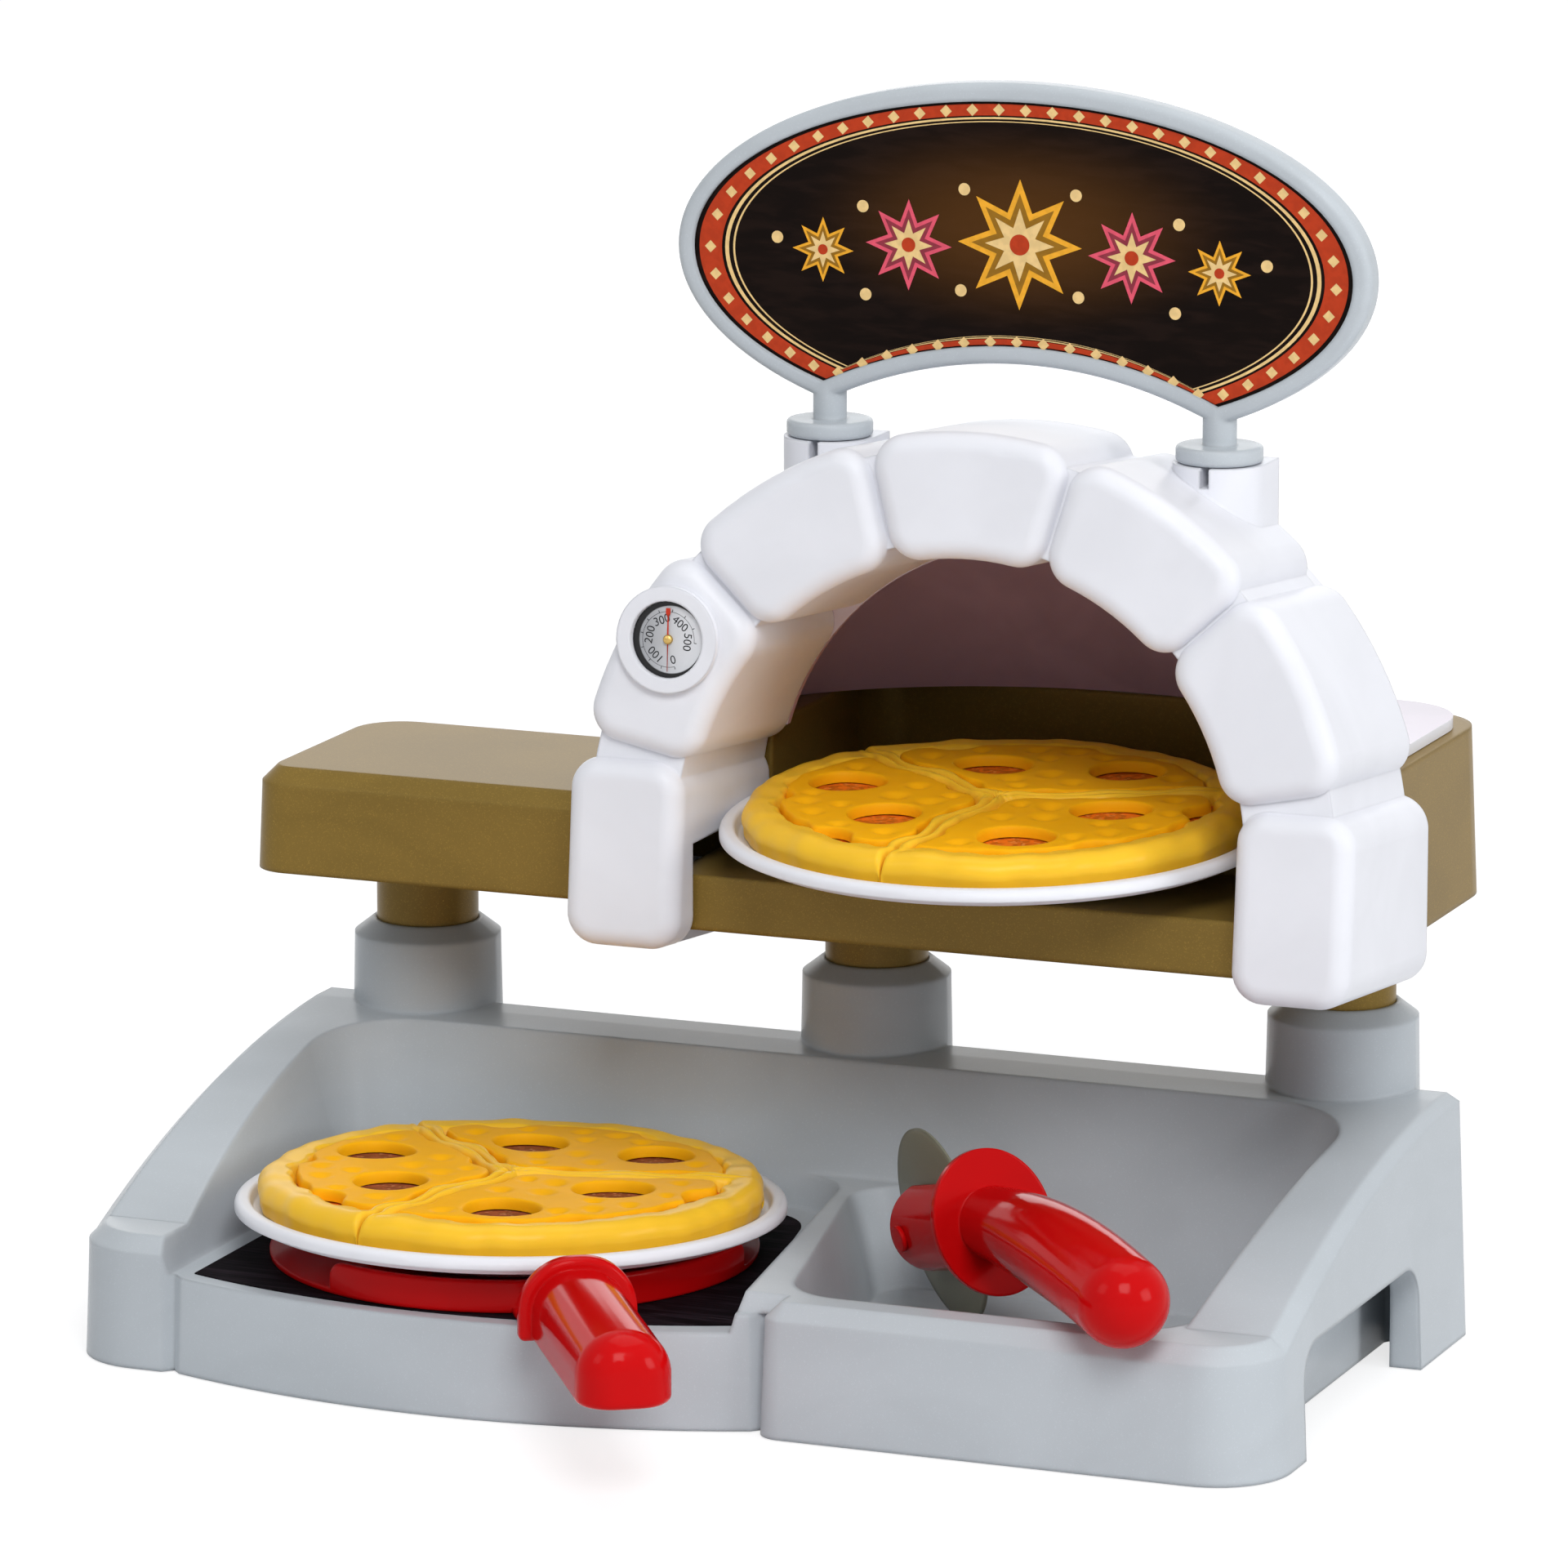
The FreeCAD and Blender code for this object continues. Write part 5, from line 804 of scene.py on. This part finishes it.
def gloss_finish(name, tint, roughness, shine, orange_peel=0.03):
    """Gloss plastic: even colour with faint clouds and a slight orange peel."""
    material, tree, shader = new_finish(name, roughness, Specular_IOR_Level=shine)
    cloud = noise(tree, place_of(tree), 22.0, 3.0, 0.6)
    tone = clouded(tree, cloud, tint, 0.965, 1.02)
    paint(tree, shader, tone)
    peel = noise(tree, place_of(tree), 130.0, 2.0)
    bump(tree, shader, peel, orange_peel, 0.0004, 0.5 * SOFT_EDGE)
    return material


def hood_finish(name, tint, inside):
    """White outside; inside, where normals point back to the hood's middle, a darker mauve as
    painted shade.
    """
    material, tree, shader = new_finish(name, 0.30, Specular_IOR_Level=0.10)
    low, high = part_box("oven_dome")
    centre = (0.5 * (low[0] + high[0]), low[1], low[2])
    facing_out = add_node(tree, "ShaderNodeTexCoord").outputs["Normal"]
    away = vectors(tree, "NORMALIZE", place_of(tree, centre=centre))[0]
    outward = vectors(tree, "DOT_PRODUCT", facing_out, away)["Value"]
    cloud = noise(tree, place_of(tree), 18.0, 3.0, 0.6)
    # painted shade on the inside, with faint clouds; the outside keeps the white
    shade = clouded(tree, cloud, inside, 0.85, 1.1)
    tone = mixed(tree, ramp(tree, outward, -0.1, 0.1), shade, tint)
    paint(tree, shader, tone)
    bump(tree, shader, noise(tree, place_of(tree), 130.0, 2.0), 0.03, 0.0004)
    return material


def food_finish(name, tint, deep, gloss, shine):
    """Satin food plastic: faint warm clouds, a low soft relief, slightly translucent."""
    material, tree, shader = new_finish(
        name, gloss, Specular_IOR_Level=shine, Subsurface_Weight=0.10, Subsurface_Scale=0.004)
    shader.inputs["Subsurface Radius"].default_value = (1.0, 0.5, 0.15)
    cloud = noise(tree, place_of(tree), 40.0, 3.0, 0.6)
    tone = mixed(tree, ramp(tree, cloud, 0.3, 0.7), deep, tint)
    paint(tree, shader, tone)
    bump(tree, shader, cloud, 0.05, 0.001)
    return material


def filling_finish(name, sauce, disc, fat):
    """Print on the card in slice coordinates: sauce, and a speckled disc under each hole."""
    material, tree, shader = new_finish(name, 0.42, Specular_IOR_Level=0.1)
    where = add_node(tree, "ShaderNodeTexCoord").outputs["UV"]
    cloud = noise(tree, where, 38.0, 4.0, 0.6)
    tone = clouded(tree, cloud, sauce, 0.7, 1.25, 0.35, 0.68)
    specks = ramp(tree, cells_of(tree, where, 46.0)["Distance"], 0.34, 0.16)
    meat = clouded(tree, cloud, disc, 0.75, 1.3, 0.38, 0.62)
    meat = mixed(tree, math_of(tree, "MULTIPLY", specks, 0.75), meat, fat)
    for along, aside, radius in HOLES:
        away = vectors(tree, "DISTANCE", where, (along / UV_SIZE, aside / UV_SIZE, 0.0))["Value"]
        starts, full = ((radius + past) / UV_SIZE for past in PRINT_PAST)
        tone = mixed(tree, ramp(tree, away, starts, full), tone, meat)
    paint(tree, shader, tone)
    bump(tree, shader, specks, 0.2, 0.0004)
    return material


def wood_print_finish(name, tint):
    """Dark wood print: long streaks along X of a faint purple tone, with almost no gloss."""
    material, tree, shader = new_finish(name, 0.62, Specular_IOR_Level=0.02)
    grain = noise(tree, place_of(tree, (3.0, 26.0, 1.0)), 9.0, 6.0, 1.1)
    fine = noise(tree, place_of(tree, (7.0, 150.0, 1.0)), 7.0, 4.0, 0.4)
    tone = mixed(tree, ramp(tree, grain, 0.42, 0.72), tint, (0.016, 0.011, 0.015))
    tone = mixed(tree, ramp(tree, fine, 0.55, 0.78), tone, (0.030, 0.022, 0.028))
    paint(tree, shader, tone)
    bump(tree, shader, math_of(tree, "ADD", grain, fine), 0.22, 0.0004)
    return material


def ink_finish(name, roughness=0.32):
    """Printed ink: colour from the piece's own ink attribute, with a faint grain."""
    material, tree, shader = new_finish(name, roughness, Specular_IOR_Level=0.15)
    ink = add_node(tree, "ShaderNodeAttribute", attribute_name="ink").outputs["Color"]
    grain = noise(tree, place_of(tree), 400.0, 2.0)
    dark = add_node(
        tree, "ShaderNodeVectorMath", {0: ink, "Scale": 0.88}, operation="SCALE").outputs[0]
    tone = mixed(tree, ramp(tree, grain, 0.35, 0.65), dark, ink)
    paint(tree, shader, tone)
    return material


def panel_finish(name, tint):
    """Dark print of the sign with a warm glow round its middle."""
    material, tree, shader = new_finish(name, 0.4, Specular_IOR_Level=0.05)
    centre = middle_of("sign_panel")
    above = (centre[0], centre[1], centre[2] + 0.006)
    stretched = place_of(tree, (1.0 / 0.075, 1.0, 1.0 / 0.034), above)
    size = vectors(tree, "LENGTH", stretched)["Value"]
    weave = noise(tree, place_of(tree, (1.0, 1.0, 5.0)), 60.0, 3.0, 0.4)
    ground = mixed(tree, ramp(tree, weave, 0.4, 0.7), tint, scaled(tint, 2.2))
    tone = mixed(tree, ramp(tree, size, 1.0, 0.15, 0.0, 0.55), ground, (0.13, 0.050, 0.010))
    paint(tree, shader, tone)
    return material


def dial_finish(name):
    """Printed dial: pale face, darker to the left, in a black ring that is wider on the left."""
    material, tree, shader = new_finish(name, 0.2, Specular_IOR_Level=0.3)
    centre = middle_of("dial")
    shifted = (centre[0] + 0.0008, centre[1], centre[2])
    size = vectors(tree, "LENGTH", place_of(tree, centre=shifted))["Value"]
    side = add_node(tree, "ShaderNodeSeparateXYZ", {0: place_of(tree, centre=centre)}).outputs[0]
    face = mixed(tree, ramp(tree, side, -0.010, 0.008), (0.36, 0.37, 0.39), (0.72, 0.73, 0.76))
    tone = mixed(tree, ramp(tree, size, 0.0101, 0.0105), face, (0.01, 0.01, 0.011))
    paint(tree, shader, tone)
    return material


def steel_finish(name, tint):
    """Plated steel with a fine brushed noise."""
    material, tree, shader = new_finish(name, 0.3, Metallic=1.0)
    brushed = noise(tree, place_of(tree, (1.0, 1.0, 8.0)), 900.0, 2.0)
    paint(tree, shader, mixed(tree, brushed, scaled(tint, 0.8), tint))
    tree.links.new(ramp(tree, brushed, 0.3, 0.7, 0.22, 0.42), shader.inputs["Roughness"])
    return material


def dress(material, *nodes):
    """Give CAD nodes a finish through their material slots."""
    for name in nodes:
        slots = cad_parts[name].data.materials
        if len(slots) == 0:
            slots.append(material)
        for index in range(len(slots)):
            slots[index] = material


def lay_slices(kind, lift, surface, body, node, looks):
    """Every slice's piece of one kind, riding on its body in place of its CAD node. looks gives
    the slot, which is not used, and the finish of each pizza."""
    points, faces = surface
    pieces = []
    for pizza in PIZZAS:
        slot, finish = looks[pizza]
        for index in range(SLICES):
            number = index + 1
            pieces.append(new_piece(
                f"{pizza}_{kind}_{number}", on_plate(points, pizza, index, lift), faces, finish,
                f"{pizza}_{body}_{number}", (f"{pizza}_{node}_{number}",)))
    return pieces


class STATION_OT_mouldings(bpy.types.Operator):
    """Finishes of the moulded parts"""
    bl_idname = "station.mouldings"
    bl_label = "Finish the mouldings"

    def execute(self, context):
        look = finishes()
        grey = pearl_finish("pearl_grey", tuple(look.grey))
        dress(grey, "base_tray", "sign_frame")
        bronze = bronze_finish("bronze_flake", tuple(look.bronze))
        dress(bronze, "counter_deck", "leg_left", "leg_middle", "leg_right")
        white = gloss_finish("oven_white", tuple(look.white), 0.30, 0.10)
        dress(white, "oven_arch", "oven_plate", "serving_plate")
        # the hood's inside gets a painted shade colour
        dress(hood_finish("hood_white", tuple(look.white), tuple(look.oven_inside)), "oven_dome")
        red = gloss_finish("tool_red", tuple(look.red), 0.10, 0.07, 0.02)
        dress(red, "peel_blade", "peel_handle", "cutter_handle", "cutter_axle")
        dress(pearl_finish("wheel_grey", tuple(look.wheel), 0.3), "cutter_wheel")
        dress(wood_print_finish("wood_print", tuple(look.mat)), "work_mat")
        dress(panel_finish("sign_ground", tuple(look.panel)), "sign_panel")
        dress(dial_finish("dial_face"), "dial")
        dress(steel_finish("plated_steel", tuple(look.steel)), "leg_screws")
        return {"FINISHED"}


class STATION_OT_dough(bpy.types.Operator):
    """Crusts with a rolled, lumpy rim and a cord along each cut"""
    bl_idname = "station.dough"
    bl_label = "Roll the dough"

    def execute(self, context):
        tint = tuple(finishes().dough)
        finish = food_finish("dough", tint, scaled(tint, 0.93), 0.30, 0.12)
        looks = dict.fromkeys(PIZZAS, ("crust", finish))
        lay_slices("dough", DOUGH_LIFT, dough_slice(pizza_shape()), "slice", "crust", looks)
        return {"FINISHED"}


class STATION_OT_cheese(bpy.types.Operator):
    """Cheese covers with two holes, pits and bays"""
    bl_idname = "station.cheese"
    bl_label = "Lay the cheese"

    def execute(self, context):
        tint = tuple(finishes().cheese)
        finish = food_finish("cheese", tint, scaled(tint, 0.94), 0.45, 0.05)
        looks = dict.fromkeys(PIZZAS, ("cheese", finish))
        lay_slices("melt", CHEESE_LIFT, cheese_slice(pizza_shape()), "cover", "cheese", looks)
        return {"FINISHED"}


class STATION_OT_filling(bpy.types.Operator):
    """Printed cards with a low disc under each hole"""
    bl_idname = "station.filling"
    bl_label = "Lay the filling"

    def execute(self, context):
        look = finishes()
        sauce = tuple(look.sauce)
        prints = {
            "tomato": filling_finish(
                "tomato_print", sauce, scaled(sauce, 0.85), (0.85, 0.35, 0.10)),
            "salami": filling_finish(
                "salami_print", sauce, tuple(look.salami), (0.50, 0.24, 0.13)),
        }
        names = {pizza: place["filling"] for pizza, place in PIZZAS.items()}
        looks = {pizza: (name, prints[name]) for pizza, name in names.items()}
        surface = filling_slice(pizza_shape())
        flat = surface[0][:, :2] / UV_SIZE
        for piece in lay_slices("filling", FILLING_LIFT, surface, "slice", "topping", looks):
            layer = piece.data.uv_layers.new(name="slice")
            corners = np.zeros(len(piece.data.loops), dtype=np.int32)
            piece.data.loops.foreach_get("vertex_index", corners)
            layer.data.foreach_set("uv", flat[corners].astype(np.float32).ravel())
        return {"FINISHED"}


class STATION_OT_dial(bpy.types.Operator):
    """Scale, numbers, needle and hub of the dial"""
    bl_idname = "station.dial"
    bl_label = "Print the dial"

    def execute(self, context):
        look = finishes()
        front = np.array([0.0, -math.cos(DIAL_TILT), math.sin(DIAL_TILT)])
        up = np.array([0.0, math.sin(DIAL_TILT), math.cos(DIAL_TILT)])
        right = np.array([1.0, 0.0, 0.0])
        middle = np.array(middle_of("dial")) / MM + DIAL_FRONT * front
        ink, needle = tuple(look.ink), tuple(look.needle)
        sheet = InkSheet()
        near, far = TICK_RADII
        for number in DIAL_MARKS:
            out, across = along_ray(DIAL_ZERO + number * DIAL_TURN)
            if number % NUMBERED == 0:
                words, faces = numeral(str(number), NUMBER_SIZE)
                upright = words @ np.array([-across, out])
                sheet.add(upright + NUMBER_RADIUS * out, faces, INK_HEIGHT, ink)
            half = TICK_HALF * across
            tick = [near * out - half, far * out - half, far * out + half, near * out + half]
            sheet.fan(np.array(tick), INK_HEIGHT, ink)
        arc = ring_of(ARC_RADIUS, ARC_POINTS, math.radians(DIAL_ZERO), math.radians(DIAL_SWEEP))
        inner = arc * (ARC_INSIDE / ARC_RADIUS)
        for a, b, c, d in zip(arc[:-1], arc[1:], inner[1:], inner[:-1]):
            sheet.fan(np.array([a, b, c, d]), INK_HEIGHT, ink)
        lean, aside = along_ray(NEEDLE_ANGLE)
        for side, tone in ((NEEDLE_SIDE, needle), (TAIL_SIDE, scaled(needle, 0.6))):
            left = [along * lean + wide * aside for along, wide in side]
            right_side = [along * lean - wide * aside for along, wide in reversed(side)]
            sheet.fan(np.array(left + right_side), NEEDLE_HEIGHT, tone)
        sheet.lay(
            "dial_print", middle, right, up, front, ink_finish("dial_ink", 0.4), "station")
        bends = np.linspace(0.0, 0.5 * math.pi, 8)
        rings = [(HUB_RADIUS, 0.0)]
        rings += [(HUB_RADIUS * math.cos(b), HUB_FOOT + HUB_CROWN * math.sin(b)) for b in bends]
        hub = np.concatenate([
            np.column_stack([ring_of(radius, HUB_SIDES), np.full(HUB_SIDES, height)])
            for radius, height in rings])
        hub = middle + hub @ np.array([right, up, front])
        new_piece(
            "dial_hub", hub * MM, grid_faces(len(rings), HUB_SIDES, wrap=True),
            steel_finish("brass", tuple(look.brass)), "station")
        return {"FINISHED"}


class STATION_OT_sign(bpy.types.Operator):
    """Generic print of the sign: border, lines, stars and dots"""
    bl_idname = "station.sign"
    bl_label = "Print the sign"

    def execute(self, context):
        look = finishes()
        cream, band = tuple(look.cream), tuple(look.band)
        low, high = (1000.0 * np.array(p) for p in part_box("sign_panel"))
        middle = np.array([0.5 * (low[0] + high[0]), low[1] - SIGN_FRONT, SIGN_HEIGHT])
        corners = np.empty(3 * len(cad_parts["sign_panel"].data.vertices))
        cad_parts["sign_panel"].data.vertices.foreach_get("co", corners)
        corners = 1000.0 * corners.reshape(-1, 3)
        rim = corners[corners[:, 1] < low[1] + 0.01][:, (0, 2)] - middle[[0, 2]]
        rim = np.unique(rim.round(3), axis=0)
        rim = rim[np.argsort(np.arctan2(rim[:, 1], rim[:, 0]))]
        sheet = InkSheet()
        for outer, inner, ink_name in SIGN_BORDERS:
            ink = tuple(getattr(look, ink_name))
            sheet.band(rim * outer, rim * inner, LAYERS[0], ink)
        walk = np.concatenate([[0.0], np.cumsum(np.hypot(*np.diff(rim, axis=0).T))])
        diamond = ring_of(DIAMOND, 4)
        for length_along in np.linspace(0.0, walk[-1], DIAMONDS, endpoint=False):
            spot = np.array([np.interp(length_along, walk, rim[:, i]) for i in (0, 1)])
            sheet.fan(diamond + spot * DIAMOND_LINE, LAYERS[1], cream)
        for u, v, size, ink_name in SIGN_STARS:
            spot = np.array([u, v])
            ink = tuple(getattr(look, ink_name))
            rays = ((1.0, 0.52, ink), (0.78, 0.40, scaled(ink, 0.35)), (0.56, 0.27, cream))
            for height, (tip, notch, tone) in zip(LAYERS, rays):
                sheet.fan(star(tip * size, notch * size, STAR_TIPS) + spot, height, tone)
            sheet.fan(ring_of(0.16 * size, 24) + spot, LAYERS[3], band)
        for dot in SIGN_DOTS:
            sheet.fan(ring_of(DOT_RADIUS, 20) + np.array(dot), LAYERS[0], cream)
        sheet.lay(
            "sign_print", middle, (1.0, 0.0, 0.0), (0.0, 0.0, 1.0), (0.0, -1.0, 0.0),
            ink_finish("sign_ink"), "sign")
        return {"FINISHED"}


class STATION_OT_stage(bpy.types.Operator):
    """Floor, room light, lamps and camera"""
    bl_idname = "station.stage"
    bl_label = "Set the stage"

    def execute(self, context):
        scene = context.scene
        setup = scene.stage_setup
        scene.view_settings.view_transform = "Standard"
        middle = Vector(LOOK_AT)
        around, up = setup.azimuth, setup.elevation
        level = math.cos(up)
        back = Vector((math.sin(around) * level, -math.cos(around) * level, math.sin(up)))
        camera = bpy.data.objects.new("camera", bpy.data.cameras.new("camera"))
        camera.data.lens = setup.lens
        camera.data.sensor_width = SENSOR
        camera.data.clip_end = 40.0
        camera.location = middle + back * setup.distance
        camera.rotation_euler = back.to_track_quat("Z", "Y").to_euler()
        scene.collection.objects.link(camera)
        scene.camera = camera
        white_room(scene, setup.sky)
        floor()
        for name, (place, size) in LAMPS.items():
            lamp = bpy.data.objects.new(name, bpy.data.lights.new(name, "AREA"))
            lamp.data.shape = "RECTANGLE"
            lamp.data.size, lamp.data.size_y = size
            lamp.data.energy = getattr(setup, name)
            lamp.location = place
            lamp.rotation_euler = (lamp.location - middle).to_track_quat("Z", "Y").to_euler()
            scene.collection.objects.link(lamp)
        return {"FINISHED"}


def by_ray(tree, spread, shown, output):
    """Join two shaders: for light that spreads, and for what camera, mirrors and glass show."""
    path = add_node(tree, "ShaderNodeLightPath").outputs
    seen = math_of(tree, "MAXIMUM", path["Is Camera Ray"], path["Is Glossy Ray"])
    seen = math_of(tree, "MAXIMUM", seen, path["Is Transmission Ray"])
    whole = add_node(
        tree, "ShaderNodeMixShader", {0: seen, 1: spread.outputs[0], 2: shown.outputs[0]})
    tree.links.new(whole.outputs[0], tree.nodes[output].inputs["Surface"])


def white_room(scene, strength):
    """World that lights softly and shows white."""
    world = bpy.data.worlds.new("room")
    world.use_nodes = True
    tree = world.node_tree
    light = tree.nodes["Background"]
    light.inputs["Color"].default_value = (0.97, 0.985, 1.0, 1.0)
    light.inputs["Strength"].default_value = strength
    shown = add_node(tree, "ShaderNodeBackground", {"Color": WHITE, "Strength": 1.0})
    by_ray(tree, light, shown, "World Output")
    scene.world = world


def floor():
    """Flat disc just under z = 0: radius times (cos, sin). White where seen, with a soft shadow."""
    rim = np.column_stack([ring_of(FLOOR_RADIUS, FLOOR_SIDES), np.full(FLOOR_SIDES, FLOOR_HEIGHT)])
    mesh = bpy.data.meshes.new("floor")
    mesh.from_pydata(rim.tolist(), [], [tuple(range(FLOOR_SIDES))])
    ground = bpy.data.objects.new("floor", mesh)
    bpy.context.scene.collection.objects.link(ground)
    material = bpy.data.materials.new("pale_floor")
    material.use_nodes = True
    tree = material.node_tree
    tree.nodes.remove(tree.nodes["Principled BSDF"])
    plain = add_node(tree, "ShaderNodeBsdfDiffuse", {"Color": (0.80, 0.80, 0.81, 1.0)})
    part = add_node(tree, "ShaderNodeBsdfDiffuse", {"Color": (0.36, 0.36, 0.365, 1.0)})
    away = vectors(tree, "LENGTH", place_of(tree))["Value"]
    glow = add_node(tree, "ShaderNodeEmission", {
        "Color": WHITE, "Strength": ramp(tree, away, 0.3, 1.6, 0.74, 0.88)})
    shown = add_node(tree, "ShaderNodeAddShader", {0: part.outputs[0], 1: glow.outputs[0]})
    by_ray(tree, plain, shown, "Material Output")
    mesh.materials.append(material)


OPERATORS = (
    STATION_OT_stage, STATION_OT_mouldings, STATION_OT_dough, STATION_OT_cheese, STATION_OT_filling,
    STATION_OT_dial, STATION_OT_sign,
)
GROUPS = (StationFinishes, PizzaShape, StageSetup)


class STATION_PT_panel(bpy.types.Panel):
    """Sizes, colours and steps of the pizza station"""
    bl_idname = "STATION_PT_panel"
    bl_label = "Pizza station"
    bl_space_type = "VIEW_3D"
    bl_region_type = "UI"
    bl_category = "Pizza station"

    def draw(self, context):
        scene = context.scene
        for group in (scene.station_finishes, scene.pizza_shape, scene.stage_setup):
            column = self.layout.column()
            for name in group.__annotations__:
                column.prop(group, name)
        for operator in OPERATORS:
            self.layout.operator(operator.bl_idname)


CLASSES = (*GROUPS, *OPERATORS, STATION_PT_panel)


def register():
    for item in CLASSES:
        bpy.utils.register_class(item)
    bpy.types.Scene.station_finishes = PointerProperty(type=StationFinishes)
    bpy.types.Scene.pizza_shape = PointerProperty(type=PizzaShape)
    bpy.types.Scene.stage_setup = PointerProperty(type=StageSetup)


def unregister():
    del bpy.types.Scene.stage_setup
    del bpy.types.Scene.pizza_shape
    del bpy.types.Scene.station_finishes
    for item in reversed(CLASSES):
        bpy.utils.unregister_class(item)


def main():
    register()
    bpy.ops.station.stage()
    bpy.ops.station.mouldings()
    bpy.ops.station.dough()
    bpy.ops.station.cheese()
    bpy.ops.station.filling()
    bpy.ops.station.dial()
    bpy.ops.station.sign()


if __name__ == "__main__":
    main()
